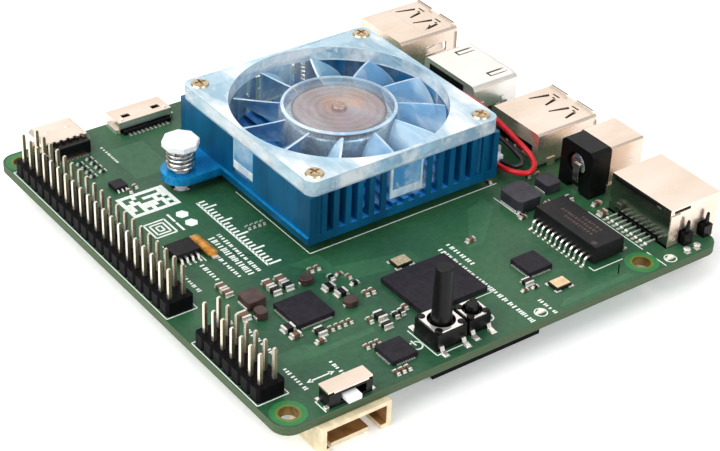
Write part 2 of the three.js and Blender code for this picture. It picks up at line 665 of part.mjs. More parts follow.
function makeJackBody() {
  const { x0, split, x1, y0, y1, z1 } = POWER_JACK;
  const shape = new THREE.Shape();
  const chamfer = 0.7;
  shape.moveTo(y0, 0);
  shape.lineTo(y1, 0);
  shape.lineTo(y1, z1 - chamfer);
  shape.lineTo(y1 - chamfer, z1);
  shape.lineTo(y0 + chamfer, z1);
  shape.lineTo(y0, z1 - chamfer);
  const sleeve = cut(
    drumAlongX(split - 0.5, x1 - 0.5, JACK_AXIS.y, JACK_AXIS.z, 3.6, 24),
    drumAlongX(split - 0.4, x1 + 1, JACK_AXIS.y, JACK_AXIS.z, 3.0, 24),
  );
  const rearPocket = drumAlongX(x0 - 1, x0 + 1.4, JACK_AXIS.y, JACK_AXIS.z + 0.4, 2.3, 20);
  const pinSeat = drumAlongX(x0 - 1, x1, JACK_AXIS.y, JACK_AXIS.z, 1.3, 16);
  const foot = box(x0 - 1, x0 + 2.6, y0 + 2.4, y1 - 2.4, -1, 1.2);
  return cut(join(barAlongX(shape, x0, split), sleeve), rearPocket, pinSeat, foot);
}
addPart("power_jack_body", makeJackBody(), blackPlastic);

function makeJackShield() {
  const { split, x1, y0, y1, z1 } = POWER_JACK;
  const x0 = split + GAP;
  const wall = 0.4;
  const outer = roundedBarAlongX(x0, x1, y0, y1, 0, z1, 0.5);
  const inner = box(x0 - 1, x1 - wall, y0 + wall, y1 - wall, -1, z1 - wall);
  const mouth = drumAlongX(x1 - 2, x1 + 1, JACK_AXIS.y, JACK_AXIS.z, 3.05, 24);
  return cut(outer, inner, mouth);
}
addPart("power_jack_shield", makeJackShield(), tin);
addPart("power_jack_pin", drumAlongX(
  POWER_JACK.x0 + 0.4, POWER_JACK.x1 - 1.6, JACK_AXIS.y, JACK_AXIS.z, 1.0, 16), tin);

// Network jack: sunk in a notch of the board, a metal shell round a black housing
function makeNetworkShell() {
  const { x0, x1, y0, y1, z0, z1 } = NETWORK_JACK;
  const wall = 0.4;
  const inner = box(x0 + wall, x1 + 1, y0 + wall, y1 - wall, z0 - 1, z1 - wall);
  const wingSlots = wings().map(([a, b]) => box(a - 0.3, b + 0.3, y0 - 1, y0 + 1, -3, 2.6));
  const cornerSlot = box(x0 + 0.9, x0 + 4.6, y0 - 1, y0 + 1, z1 - 1.1, z1 - 0.5);
  const topSlot = box(x0 - 1, x0 + 1, y0 + 2.3, y1 - 2.5, z1 - 0.9, z1 - 0.45);
  const rearSlot = box(x0 - 1, x0 + 1, y0 + 2.2, y1 - 2.2, z0 - 1, 1.0);
  return cut(box(x0, x1, y0, y1, z0, z1), inner, wingSlots, cornerSlot, topSlot, rearSlot);
}

function wings() {
  return [[83.6, 85.6], [88.2, 90.2]];
}

const PLUG_CAVITY = { x0: 83.4, y0: 5.4, y1: 17.2, z0: -4.2, z1: 3.6 };

function makeNetworkHousing() {
  const { x0, x1, y0, y1, z0, z1 } = NETWORK_JACK;
  const inset = 0.4 + GAP;
  const block = box(x0 + inset, x1 - 0.3, y0 + inset, y1 - inset, z0, z1 - inset);
  const plugSpace = box(
    PLUG_CAVITY.x0, x1 + 1, PLUG_CAVITY.y0, PLUG_CAVITY.y1, PLUG_CAVITY.z0, PLUG_CAVITY.z1);
  const latchSpace = box(PLUG_CAVITY.x0, x1 + 1, 8.3, 14.3, 3, 6.0);
  const rearLip = box(x0 - 1.2, x0 + inset + 0.2, y0 + 2.6, y1 - 2.6, 0.05, 0.55);
  const wingBlocks = wings().map(([a, b]) => box(a, b, y0 - 1.4, y0 + inset + 0.2, 0.05, 2.3));
  return join(cut(block, plugSpace, latchSpace), rearLip, wingBlocks);
}
addPart("network_jack_shell", makeNetworkShell(), tin);
addPart("network_jack_housing", makeNetworkHousing(), blackPlastic);

// Reversible USB port on the back edge
const SMALL_PORT = { x0: 6.7, x1: 15.7, y0: 84.9, y1: 91.1, z1: 3.2 };

function backEdgeBar(x0, x1, y0, y1, z0, z1, r) {
  const geometry = new THREE.ExtrudeGeometry(roundedRectangle(x0, x1, z0, z1, r), {
    depth: y1 - y0,
    bevelEnabled: false,
    curveSegments: 4,
  });
  geometry.rotateX(Math.PI / 2);
  geometry.translate(0, y1, 0);
  return solid(geometry);
}

function makeSmallPortShell() {
  const { x0, x1, y0, y1, z1 } = SMALL_PORT;
  return cut(
    backEdgeBar(x0, x1, y0, y1, 0.1, z1, 1.1),
    backEdgeBar(x0 + 0.3, x1 - 0.3, y0 - 1, y1 + 1, 0.4, z1 - 0.3, 0.9),
  );
}
addPart("small_usb_port_shell", makeSmallPortShell(), tin);
addPart("small_usb_port_insert", join(
  box(7.4, 15.0, 83.0, 84.6, 0.05, 2.5),
  box(8.0, 14.4, 84.4, 86.2, 0.75, 2.5),
  box(8.0, 14.4, 86.0, 90.3, 1.3, 2.0),
), blackPlastic);

// Display connector on the back edge
const DISPLAY_PORT = { x0: 22.2, x1: 33.2, y0: 85.4, y1: 90.3, z1: 2.4 };

function makeDisplayShell() {
  const { x0, x1, y0, y1, z1 } = DISPLAY_PORT;
  const inner = box(x0 + 0.3, x1 - 0.3, y0 - 1, y1 + 1, -1, z1 - 0.3);
  const windows = [x0 + 2.4, x1 - 2.4].map((x) => box(x - 0.8, x + 0.8, y0 + 1.4, y0 + 2.4, 1, 4));
  return cut(box(x0, x1, y0, y1, 0.05, z1), inner, windows);
}
addPart("display_connector_shell", makeDisplayShell(), tin);
addPart("display_connector_body", cut(
  box(DISPLAY_PORT.x0 + 0.6, DISPLAY_PORT.x1 - 0.6, 84.6, 90.2, 0, 2.0),
  box(DISPLAY_PORT.x0 + 1.4, DISPLAY_PORT.x1 - 1.4, 87.2, 92, 0.6, 1.4),
), blackPlastic);

// Boot slide switch: body, metal cover and a sliding knob
const BOOT_SWITCH = { x0: 8.6, x1: 16.8, y0: 0.5, y1: 3.5, z1: 3.0 };
const BOOT_TRAVEL = 1.5;
const KNOB_WIDTH = 2.5;
const KNOB_X = 11.2;

function makeBootBody() {
  const { x0, x1, y0, y1, z1 } = BOOT_SWITCH;
  const block = box(x0 + 0.1, x1 - 0.1, y0 + 0.1, y1 - 0.2, 0, z1 - 0.5);
  const track = box(
    KNOB_X - GAP, KNOB_X + KNOB_WIDTH + BOOT_TRAVEL + GAP, y0 - 1, y0 + 1.7, 0.55, z1 - 0.9);
  return cut(block, track);
}
addPart("boot_switch_body", makeBootBody(), blackPlastic);
addPart("boot_switch_knob", box(
  KNOB_X, KNOB_X + KNOB_WIDTH, -0.9, BOOT_SWITCH.y0 + 1.4, 0.85, BOOT_SWITCH.z1 - 1.2,
), whitePlastic);

function makeBootCover() {
  const { x0, x1, y0, y1, z1 } = BOOT_SWITCH;
  const plate = box(x0, x1, y0, y1, z1 - 0.35, z1);
  const legs = [x0, x1 - 1.6].map((x) => box(x, x + 1.6, y1 - 0.15, y1, 0.5, z1 - 0.3));
  return join(plate, legs);
}
addPart("boot_switch_cover", makeBootCover(), tin);

// Push buttons: a moulded body, a metal cover plate and a plunger that travels down
function addPushButton(name, { x, y, side, bodyTop, coverTop, plungerRadius, plungerTop, sides }) {
  const button = new THREE.Group();
  button.position.set(x, y, 0);
  board.add(button);
  const half = side / 2;
  const bore = plungerRadius + 0.15;
  const legs = [-1, 1].flatMap((sy) => [-0.36, 0.36].map((share) => box(
    share * side - 0.35, share * side + 0.35,
    sy > 0 ? half - 0.1 : -half - 1.3, sy > 0 ? half + 1.3 : -half + 0.1,
    0, 0.25,
  )));
  const body = join(box(-half, half, -half, half, 0, bodyTop), legs);
  const well = drum(0, 0, bodyTop - 1.6, bodyTop + 1, bore + 0.75, 20);
  addPart(`${name}_body`, cut(body, well), blackPlastic, button);
  const lip = half - 0.15;
  const cover = cut(
    box(-lip, lip, -lip, lip, bodyTop, coverTop),
    drum(0, 0, 0, coverTop + 1, bore, 20),
  );
  addPart(`${name}_cover`, cover, tin, button);
  const plunger = join(
    drum(0, 0, bodyTop - 0.9, bodyTop - 0.35, bore + 0.5, sides),
    drum(0, 0, bodyTop - 0.9, plungerTop, plungerRadius, sides, plungerRadius * 0.94),
  );
  addPart(`${name}_plunger`, plunger, blackPlastic, button);
}
addPushButton("power_button", {
  x: 33.5, y: 5.6, side: 6.0, bodyTop: 3.2, coverTop: 3.5,
  plungerRadius: 1.72, plungerTop: 13.4, sides: 24,
});
addPushButton("reset_button", {
  x: 39.6, y: 5.5, side: 4.5, bodyTop: 2.8, coverTop: 3.05,
  plungerRadius: 1.15, plungerTop: 3.9, sides: 20,
});

// Serial connector under the front left corner: a side entry shell with four contacts
const SERIAL = { x0: 6.25, x1: 19.2, y0: -FRONT_OVERHANG, y1: 7.2, z0: -LOWEST_BELOW_TOP };

function makeSerialConnector() {
  const { x0, x1, y0, y1, z0 } = SERIAL;
  const block = box(x0, x1, y0, y1, z0, HUNG_FROM);
  const cavity = box(x0 + 1.0, x1 - 1.0, y0 - 1, y1 - 2.2, z0 + 0.9, UNDERSIDE - 0.8);
  const leftSlot = box(x0 + 1.6, x0 + 2.3, y0 - 1, y0 + 4.5, z0 - 1, z0 + 1.2);
  const rightSlot = box(x1 - 3.6, x1 - 2.0, y0 - 1, y0 + 4.5, z0 - 1, z0 + 1.2);
  const tongueEnd = box(x0 + 2.2, x1 - 3.5, y0 - 1, y0 + 0.8, z0 - 1, z0 + 1.2);
  const middle = (x0 + x1) / 2;
  const contacts = [-1.5, -0.5, 0.5, 1.5].map((step) => {
    const x = middle + step * 2.5;
    return box(x - 0.32, x + 0.32, y0 + 2.2, y1 - 2, z0 + 2.4, z0 + 3.04);
  });
  return join(cut(block, cavity, leftSlot, rightSlot, tongueEnd), contacts);
}
addPart("serial_connector", makeSerialConnector(), beigePlastic);

// Storage socket, its standoff and the card reader under the board
const STORAGE = { x0: 30.6, x1: 52.6, y0: 3.2, y1: 12.0, z0: -5.8 };

function makeStorageSocket() {
  const { x0, x1, y0, y1, z0 } = STORAGE;
  const slot = box(x0 + 1.4, x1 - 1.4, y0 + 4.4, y1 + 1, z0 + 1.3, z0 + 2.5);
  return cut(box(x0, x1, y0, y1, z0, HUNG_FROM), slot);
}
addPart("storage_socket", makeStorageSocket(), blackPlastic);

const STANDOFF = { x: 41.6, y: 83.6, z0: -4.3, radius: 2.6, threadRadius: 1.05 };
addPart("storage_standoff", cut(
  drum(STANDOFF.x, STANDOFF.y, STANDOFF.z0, HUNG_FROM, STANDOFF.radius, 6),
  drum(STANDOFF.x, STANDOFF.y, STANDOFF.z0 - 1, UNDERSIDE - 0.4, STANDOFF.threadRadius, 12),
), gold);

const CARD_READER = { x0: 13.6, x1: 27.8, y0: 75.6, y1: 90.6, z0: -3.5 };
addPart("card_reader", cut(
  box(CARD_READER.x0, CARD_READER.x1, CARD_READER.y0, CARD_READER.y1, CARD_READER.z0, HUNG_FROM),
  box(CARD_READER.x0 + 1.3, CARD_READER.x1 - 1.3, CARD_READER.y0 + 1.8, CARD_READER.y1 + 1,
    CARD_READER.z0 + 0.6, CARD_READER.z0 + 1.4),
), tin);

export default computer;
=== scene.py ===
import math
import random

import bmesh
import bpy
from mathutils import Matrix, Vector


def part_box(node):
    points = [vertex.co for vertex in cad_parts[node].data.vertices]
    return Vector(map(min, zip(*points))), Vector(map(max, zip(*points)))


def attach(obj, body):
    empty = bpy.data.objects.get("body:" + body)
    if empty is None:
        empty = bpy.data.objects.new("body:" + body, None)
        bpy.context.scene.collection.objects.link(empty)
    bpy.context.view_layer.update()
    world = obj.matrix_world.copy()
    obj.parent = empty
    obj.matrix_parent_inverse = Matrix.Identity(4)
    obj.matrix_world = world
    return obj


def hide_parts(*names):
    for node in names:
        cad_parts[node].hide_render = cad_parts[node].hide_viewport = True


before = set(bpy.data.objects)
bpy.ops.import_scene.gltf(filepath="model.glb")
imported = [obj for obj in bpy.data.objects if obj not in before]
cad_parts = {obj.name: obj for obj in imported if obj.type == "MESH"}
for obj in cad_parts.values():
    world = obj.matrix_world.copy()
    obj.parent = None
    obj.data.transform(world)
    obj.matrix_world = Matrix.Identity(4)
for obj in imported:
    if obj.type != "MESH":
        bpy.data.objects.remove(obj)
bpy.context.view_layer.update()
random.seed(7)

MM = 0.001
board_low, board_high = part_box("circuit_board")
# Shapes are made in millimetres from the board's front left corner on its top face.
TO_ROW = Matrix.Translation((board_low.x, board_low.y, board_high.z)) @ Matrix.Scale(MM, 4)
FROM_ROW = TO_ROW.inverted()


class Span:
    """A CAD node's box in board millimetres."""

    def __init__(self, node):
        low, high = (FROM_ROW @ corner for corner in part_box(node))
        self.x0, self.y0, self.z0 = low
        self.x1, self.y1, self.z1 = high
        self.x, self.y, self.z = (low + high) / 2


# ---------------------------------------------------------------- camera, light and floor


def make_camera():
    data = bpy.data.cameras.new("camera")
    data.sensor_width = 36.0
    data.lens = 93.23
    data.shift_x, data.shift_y = -0.0016, -0.0009
    data.clip_start, data.clip_end = 0.01, 10.0
    camera = bpy.data.objects.new("camera", data)
    camera.rotation_euler = [math.radians(a) for a in (56.324, -2.146, -36.149)]
    camera.location = (-0.16536, -0.21632, 0.18220)
    bpy.context.scene.collection.objects.link(camera)
    bpy.context.scene.camera = camera


def area_light(name, location, target, size, power, color=(1, 1, 1)):
    data = bpy.data.lights.new(name, "AREA")
    data.shape = "RECTANGLE"
    data.size, data.size_y = size
    data.energy = power
    data.color = color
    lamp = bpy.data.objects.new(name, data)
    lamp.location = location
    aim = Vector(target) - Vector(location)
    lamp.rotation_euler = aim.to_track_quat("-Z", "Y").to_euler()
    bpy.context.scene.collection.objects.link(lamp)


def make_studio():
    world = bpy.data.worlds.new("studio")
    world.use_nodes = True
    background = world.node_tree.nodes["Background"]
    background.inputs["Color"].default_value = (1.0, 1.0, 1.0, 1)
    background.inputs["Strength"].default_value = 0.50
    bpy.context.scene.world = world
    bpy.context.scene.view_settings.view_transform = "Standard"
    area_light("key_light", (-0.46, 0.06, 0.50), (0, 0, 0), (0.75, 0.75), 5.6, (1, 0.985, 0.96))
    area_light("fill_light", (0.10, -0.60, 0.36), (0, 0, 0), (0.5, 0.3), 1.6, (0.94, 0.97, 1))
    area_light("back_card", (0.66, 0.88, 0.74), (0, 0, 0), (1.5, 1.1), 3.3, (1, 0.965, 0.93))


def make_floor():
    bm = bmesh.new()
    bmesh.ops.create_grid(bm, x_segments=8, y_segments=8, size=3.0)
    mesh = bpy.data.meshes.new("floor")
    bm.to_mesh(mesh)
    floor = bpy.data.objects.new("floor", mesh)
    floor.location = (0, 0, -0.0001)
    bpy.context.scene.collection.objects.link(floor)
    mesh.materials.append(surface("floor_paper", (0.95, 0.95, 0.95), 0.95, spread=0.02, bump=0.05,
                                  Emission_Color=(1, 1, 1, 1), Emission_Strength=0.22))


# ---------------------------------------------------------------- materials


def srgb(r, g, b):
    """A colour given as 0 to 255 values, as the linear colour that shaders use."""
    return tuple(((c / 255 + 0.055) / 1.055) ** 2.4 if c > 10 else c / 3295 for c in (r, g, b))


def start_material(name):
    material = bpy.data.materials.new(name)
    material.use_nodes = True
    tree = material.node_tree
    tree.nodes.clear()
    output = tree.nodes.new("ShaderNodeOutputMaterial")
    shader = tree.nodes.new("ShaderNodeBsdfPrincipled")
    tree.links.new(shader.outputs["BSDF"], output.inputs["Surface"])
    return material, tree, shader


def node(tree, kind, inputs=(), **settings):
    made = tree.nodes.new(kind)
    for key, value in settings.items():
        setattr(made, key, value)
    for key, value in dict(inputs).items():
        if isinstance(value, bpy.types.NodeSocket):
            tree.links.new(value, made.inputs[key])
        else:
            made.inputs[key].default_value = value
    return made


def coordinates(tree, stretch=(1, 1, 1)):
    place = node(tree, "ShaderNodeTexCoord")
    return node(tree, "ShaderNodeMapping", {
        "Vector": place.outputs["Object"], "Scale": stretch}).outputs[0]


def noise(tree, place, scale, detail=3.0, rough=0.55):
    return node(tree, "ShaderNodeTexNoise", {
        "Vector": place, "Scale": scale, "Detail": detail, "Roughness": rough}).outputs["Fac"]


def ramp(tree, value, low, high, to_low=0.0, to_high=1.0):
    return node(tree, "ShaderNodeMapRange", {
        "Value": value, "From Min": low, "From Max": high, "To Min": to_low, "To Max": to_high,
    }).outputs[0]


def mix_color(tree, factor, a, b, blend="MIX"):
    mixer = node(tree, "ShaderNodeMix", data_type="RGBA", blend_type=blend)
    for key, value in (("Factor", factor), ("A", a), ("B", b)):
        socket = next(s for s in mixer.inputs if s.name == key and s.enabled)
        if isinstance(value, bpy.types.NodeSocket):
            tree.links.new(value, socket)
        else:
            socket.default_value = value if key == "Factor" else (*value, 1)
    return next(s for s in mixer.outputs if s.enabled)


def link_bump(tree, shader, height, strength, depth_mm):
    bump = node(tree, "ShaderNodeBump", {
        "Height": height, "Strength": strength, "Distance": depth_mm * MM})
    tree.links.new(bump.outputs[0], shader.inputs["Normal"])


def surface(name, color, rough, metal=0.0, second=None, spread=0.12, patch=700.0, grain=9000.0,
            bump=0.25, depth=0.02, stretch=(1, 1, 1), rough_spread=0.08, **sockets):
    """A procedural finish: broad patches vary colour and gloss, and fine grain gives relief."""
    material, tree, shader = start_material(name)
    place = coordinates(tree, stretch)
    patches = noise(tree, place, patch)
    grains = noise(tree, place, grain, 2.0)
    dark = tuple(c * (1 - spread) for c in color)
    light = second or tuple(min(1.0, c * (1 + spread)) for c in color)
    tree.links.new(mix_color(tree, ramp(tree, patches, 0.35, 0.65), dark, light),
                   shader.inputs["Base Color"])
    gloss = ramp(tree, noise(tree, place, patch * 2.7), 0.3, 0.7, rough - rough_spread,
                 rough + rough_spread)
    tree.links.new(gloss, shader.inputs["Roughness"])
    shader.inputs["Metallic"].default_value = metal
    link_bump(tree, shader, grains, bump, depth)
    for key, value in sockets.items():
        shader.inputs[key.replace("_", " ")].default_value = value
    return material


def make_mask_material(name, ground, raised):
    """Solder mask over glass weave: copper areas show lighter, and the weave as relief."""
    material, tree, shader = start_material(name)
    place = coordinates(tree)
    broad = ramp(tree, noise(tree, place, 55.0, 2.0), 0.42, 0.60)
    mottle = ramp(tree, noise(tree, place, 900.0, 3.0), 0.3, 0.7)
    base = mix_color(tree, broad, ground, raised)
    shade = mix_color(tree, 0.22, base, mix_color(tree, mottle, (0.0, 0.0, 0.0), raised))
    tree.links.new(shade, shader.inputs["Base Color"])
    waves = [node(tree, "ShaderNodeTexWave", {
        "Vector": place, "Scale": 420.0, "Distortion": 1.2, "Detail": 1.0},
        bands_direction=axis).outputs["Fac"] for axis in ("X", "Y")]
    weave = node(tree, "ShaderNodeMath", {0: waves[0], 1: waves[1]},
                 operation="MULTIPLY").outputs[0]
    gloss = ramp(tree, noise(tree, place, 1500.0), 0.3, 0.7, 0.34, 0.50)
    tree.links.new(gloss, shader.inputs["Roughness"])
    shader.inputs["Specular IOR Level"].default_value = 0.45
    link_bump(tree, shader, weave, 0.18, 0.02)
    return material


def make_edge_material():
    """The cut edge of the board: pressed layers of glass cloth."""
    material, tree, shader = start_material("laminate_edge")
    place = coordinates(tree)
    layers = node(tree, "ShaderNodeTexWave", {
        "Vector": place, "Scale": 520.0, "Distortion": 2.5, "Detail": 2.0, "Detail Scale": 3.0},
        bands_direction="Z").outputs["Fac"]
    base = mix_color(tree, layers, srgb(50, 72, 46), srgb(76, 90, 60))
    speckle = ramp(tree, noise(tree, place, 3500.0), 0.35, 0.7)
    tree.links.new(mix_color(tree, speckle, base, srgb(60, 84, 52)), shader.inputs["Base Color"])
    shader.inputs["Roughness"].default_value = 0.7
    link_bump(tree, shader, layers, 0.5, 0.03)
    return material


def make_clear_material(name, tint, clear, milky, rough=0.06, facets=110.0, glint_strength=0.5,
                        milk=(0.84, 0.90, 0.93)):
    """Clear plastic that lets what is behind it show, more solid where it is seen edge on.

    Facets is how fine the bright and deep streaks are, painted in for what moulded clear plastic
    throws back, with painted white glints on top."""
    material, tree, shader = start_material(name)
    place = coordinates(tree)
    streaked = coordinates(tree, (1.0, 0.38, 0.7))
    # Painted reflection: bright and deep streaks mixed into the colour stand in for what the
    # moulded plastic throws back.
    depth = noise(tree, streaked, facets, 4.0, 0.62)
    bright = ramp(tree, depth, 0.42, 0.60)
    cyan = ramp(tree, noise(tree, place, facets * 0.6, 1.0), 0.50, 0.66, 0.0, 0.55)
    base = mix_color(tree, bright, tint, milk)
    body = mix_color(tree, cyan, base, (0.42, 0.74, 0.88))
    # Painted glint: white flecks of highlight mixed into the colour.
    painted_glint = ramp(tree, noise(tree, streaked, facets * 3.2, 3.0, 0.6), 0.58, 0.68, 0.0, glint_strength)
    tree.links.new(mix_color(tree, painted_glint, body, (0.97, 0.985, 1.0)), shader.inputs["Base Color"])
    facing = node(tree, "ShaderNodeLayerWeight", {"Blend": 0.35}).outputs["Facing"]
    edge = ramp(tree, facing, 0.05, 0.9, clear, milky)
    cloud = ramp(tree, depth, 0.38, 0.64, -0.14, 0.12)
    total = node(tree, "ShaderNodeMath", {0: edge, 1: cloud}, operation="ADD", use_clamp=True)
    tree.links.new(total.outputs[0], shader.inputs["Alpha"])
    shader.inputs["Roughness"].default_value = rough
    shader.inputs["Specular IOR Level"].default_value = 0.6
    shader.inputs["Coat Weight"].default_value = 0.3
    shader.inputs["Coat Roughness"].default_value = 0.03
    link_bump(tree, shader, noise(tree, place, 260.0, 1.0), 0.25, 0.08)
    return material


def make_yoke_material(center):
    """Spun steel seen through the hub: faint turning rings with a painted lighter sheen, patches of
    pinkish tone and a painted amber sheen beside the centre.
    """
    material, tree, shader = start_material("spun_yoke")
    place = node(tree, "ShaderNodeTexCoord").outputs["Object"]
    flat = node(tree, "ShaderNodeMapping", {"Vector": place, "Scale": (1, 1, 0)}).outputs[0]
    shifted = node(tree, "ShaderNodeMapping", {
        "Vector": flat, "Location": tuple(-c for c in center)}).outputs[0]
    rings = node(tree, "ShaderNodeTexWave", {
        "Vector": shifted, "Scale": 230.0, "Distortion": 2.2, "Detail": 2.0},
        wave_type="RINGS", rings_direction="Z").outputs["Fac"]
    # Painted sheen: an amber patch beside the centre.
    spot = node(tree, "ShaderNodeVectorMath", {0: shifted, 1: (0.0021, 0.0003, 0.0)},
                operation="DISTANCE").outputs["Value"]
    heat = ramp(tree, spot, 0.0016, 0.0058, 1.0, 0.0)
    patch = ramp(tree, noise(tree, shifted, 420.0, 2.0), 0.30, 0.52)
    amber_sheen_share = node(tree, "ShaderNodeMath", {0: heat, 1: patch}, operation="MULTIPLY").outputs[0]
    warm = mix_color(tree, amber_sheen_share, srgb(132, 110, 106), srgb(196, 128, 44))
    cool = mix_color(tree, ramp(tree, noise(tree, shifted, 120.0, 2.0), 0.46, 0.62), warm,
                     srgb(150, 124, 132))
    # Painted sheen: the turning rings are lightened.
    sheen = ramp(tree, rings, 0.2, 0.9, 0.0, 0.25)
    tree.links.new(mix_color(tree, sheen, cool, srgb(186, 168, 160)), shader.inputs["Base Color"])
    shader.inputs["Metallic"].default_value = 0.35
    shader.inputs["Roughness"].default_value = 0.34
    link_bump(tree, shader, rings, 0.15, 0.03)
    return material


mask = make_mask_material("solder_mask", srgb(32, 80, 54), srgb(46, 96, 62))
mask_pour = make_mask_material("solder_mask_pour", srgb(44, 94, 64), srgb(58, 108, 74))
mask_trace = make_mask_material("solder_mask_trace", srgb(40, 92, 62), srgb(54, 106, 72))
mask_bright = make_mask_material("solder_mask_bright", srgb(36, 116, 60), srgb(48, 130, 68))
mask_olive = make_mask_material("solder_mask_olive", srgb(92, 116, 44), srgb(112, 128, 52))
laminate = make_edge_material()
silk = surface("silkscreen_ink", srgb(232, 238, 232), 0.65, spread=0.06, patch=2500)
pin_shade = surface("pin_plating_in_shade", srgb(112, 106, 84), 0.30, 0.8, srgb(150, 142, 116),
                    stretch=(1, 1, 0.15))
gold = surface("gold_flash", srgb(208, 190, 160), 0.30, 1.0, spread=0.1)
pin_gold = surface("pin_plating", srgb(246, 242, 232), 0.26, 0.85, srgb(232, 222, 198),
                   bump=0.06, stretch=(1, 1, 0.15))
tin = surface("tin_plate", srgb(238, 218, 200), 0.27, 0.9, srgb(249, 232, 218), 0.04, 120, 5000,
              0.06, 0.01, stretch=(0.4, 1, 1), rough_spread=0.03)
tin_shade = surface("tin_plate_in_shade", srgb(92, 100, 90), 0.18, 1.0, srgb(120, 128, 116),
                    patch=90, bump=0.04, stretch=(1, 1, 3), rough_spread=0.03)
bright_tin = surface("bright_tin", srgb(248, 244, 238), 0.25, 0.8, spread=0.04, patch=160,
                     bump=0.08, depth=0.01, rough_spread=0.03)
solder = surface("solder", srgb(232, 229, 222), 0.3, 0.6, spread=0.08, patch=1800, bump=0.5,
                 grain=3500, depth=0.03)
steel = surface("spring_steel", srgb(205, 200, 194), 0.25, 1.0, spread=0.08)
black_nylon = surface("black_nylon", srgb(7, 6, 9), 0.55, second=srgb(12, 11, 15), bump=0.5,
                      Specular_IOR_Level=0.08)
jack_black = surface("moulded_black", srgb(7, 7, 8), 0.36, second=srgb(11, 11, 13), bump=0.3,
                     Specular_IOR_Level=0.22)
epoxy = surface("chip_epoxy", srgb(27, 23, 31), 0.52, second=srgb(36, 31, 40), grain=12000,
                bump=0.6, Specular_IOR_Level=0.25)
epoxy_dark = surface("chip_epoxy_dark", srgb(15, 13, 16), 0.42, second=srgb(21, 19, 22), bump=0.6,
                     grain=12000, Specular_IOR_Level=0.25)
ferrite = surface("ferrite_grey", srgb(38, 37, 46), 0.5, second=srgb(52, 50, 60), bump=0.7,
                  grain=7000, depth=0.03)
ferrite_brown = surface("ferrite_brown", srgb(58, 40, 38), 0.42, second=srgb(78, 56, 52), bump=0.7,
                        grain=7000, depth=0.03)
ceramic = surface("capacitor_ceramic", srgb(96, 66, 48), 0.45, second=srgb(116, 82, 60), bump=0.4)
resistor = surface("resistor_glaze", srgb(12, 11, 13), 0.32, second=srgb(20, 18, 20), bump=0.3,
                   Specular_IOR_Level=0.3)
lid = surface("crystal_lid", srgb(238, 206, 160), 0.30, 0.8, srgb(250, 224, 184), bump=0.2)
amber = surface("amber_lacquer", srgb(196, 128, 40), 0.28, 0.45, srgb(222, 160, 74), bump=0.2)
white_nylon = surface("white_nylon", srgb(244, 247, 250), 0.42, spread=0.02, bump=0.2)
# Darker brown for the inside of the serial connector's cavity: painted shade.
ivory_shade = surface("ivory_painted_shade", srgb(140, 98, 52), 0.5, second=srgb(166, 122, 72))
ivory = surface("ivory_nylon", srgb(232, 214, 176), 0.46, second=srgb(240, 224, 190), bump=0.3,
                Subsurface_Weight=0.0)
red_skin = surface("red_insulation", srgb(206, 16, 30), 0.32, second=srgb(222, 30, 42), bump=0.2,
                   patch=400)
black_skin = surface("black_insulation", srgb(20, 18, 22), 0.34, second=srgb(30, 27, 32), bump=0.2,
                     patch=400)
blue_anodised = surface("blue_anodised", srgb(0, 88, 130), 0.34, 0.42, srgb(3, 110, 160), patch=180,
                        grain=7000, bump=0.45, depth=0.015, stretch=(1, 1, 0.25))
# A brighter copy of the blue anodising: painted light on the floor under the fan, standing in for
# light through the clear fan.
blue_lit = surface("blue_anodised_painted_lit", srgb(14, 118, 206), 0.40, 0.15, srgb(44, 150, 226),
                   patch=300)
# A lighter copy of the blue anodising: painted light on the lugs and a painted highlight along the
# ledge's top edge.
blue_painted_highlight = surface("blue_anodised_painted_highlight", srgb(2, 130, 196), 0.28, 0.45, srgb(14, 150, 212),
                      patch=260, bump=0.4, depth=0.015)
clear_frame = make_clear_material("clear_frame", srgb(168, 206, 226), 0.70, 0.90, facets=130.0,
                                  milk=(0.90, 0.94, 0.96))
# Whiter, more solid clear plastic used as a painted highlight along edges of the frame and ribs.
clear_painted_edge = make_clear_material("clear_frame_painted_edge", srgb(206, 226, 238), 0.80, 0.95,
                                 facets=240.0, glint_strength=0.9)
clear_wall = make_clear_material("clear_frame_wall", srgb(150, 190, 214), 0.60, 0.90, facets=200.0,
                                 glint_strength=0.8)
clear_panel = make_clear_material("clear_frame_panel", srgb(84, 162, 210), 0.60, 0.85,
                                  milk=(0.42, 0.68, 0.84))
clear_duct = make_clear_material("clear_duct", srgb(54, 150, 220), 0.14, 0.42)
clear_hub = make_clear_material("clear_hub", srgb(190, 198, 208), 0.12, 0.46, glint_strength=0.1,
                                milk=(0.72, 0.74, 0.78))
blade_milk = make_clear_material("blade_plastic", srgb(118, 176, 222), 0.54, 0.86, 0.16,
                                 facets=80.0, glint_strength=0.25, milk=(0.62, 0.79, 0.92))
# Whiter, more solid clear plastic used as a painted highlight on blade edges and the hub's rim.
blade_painted_edge = make_clear_material("blade_painted_edge", srgb(180, 212, 238), 0.80, 0.95, 0.12)
cap_brown = surface("cap_brown", srgb(150, 122, 114), 0.30, 0.5, srgb(186, 160, 150))
bronze = surface("hole_wall_bronze", srgb(96, 74, 30), 0.5, 0.5, srgb(128, 98, 40))
yoke_skirt = surface("yoke_skirt", srgb(150, 182, 204), 0.28, 0.6, srgb(186, 206, 220))
copper = surface("copper_winding", srgb(186, 110, 60), 0.35, 1.0, stretch=(1, 1, 6), bump=0.8)
pad_grey = surface("gap_pad", srgb(150, 154, 160), 0.8, bump=0.6)
lamp_white = surface("lamp_lens", srgb(246, 240, 220), 0.25, spread=0.05)


# ---------------------------------------------------------------- shapes


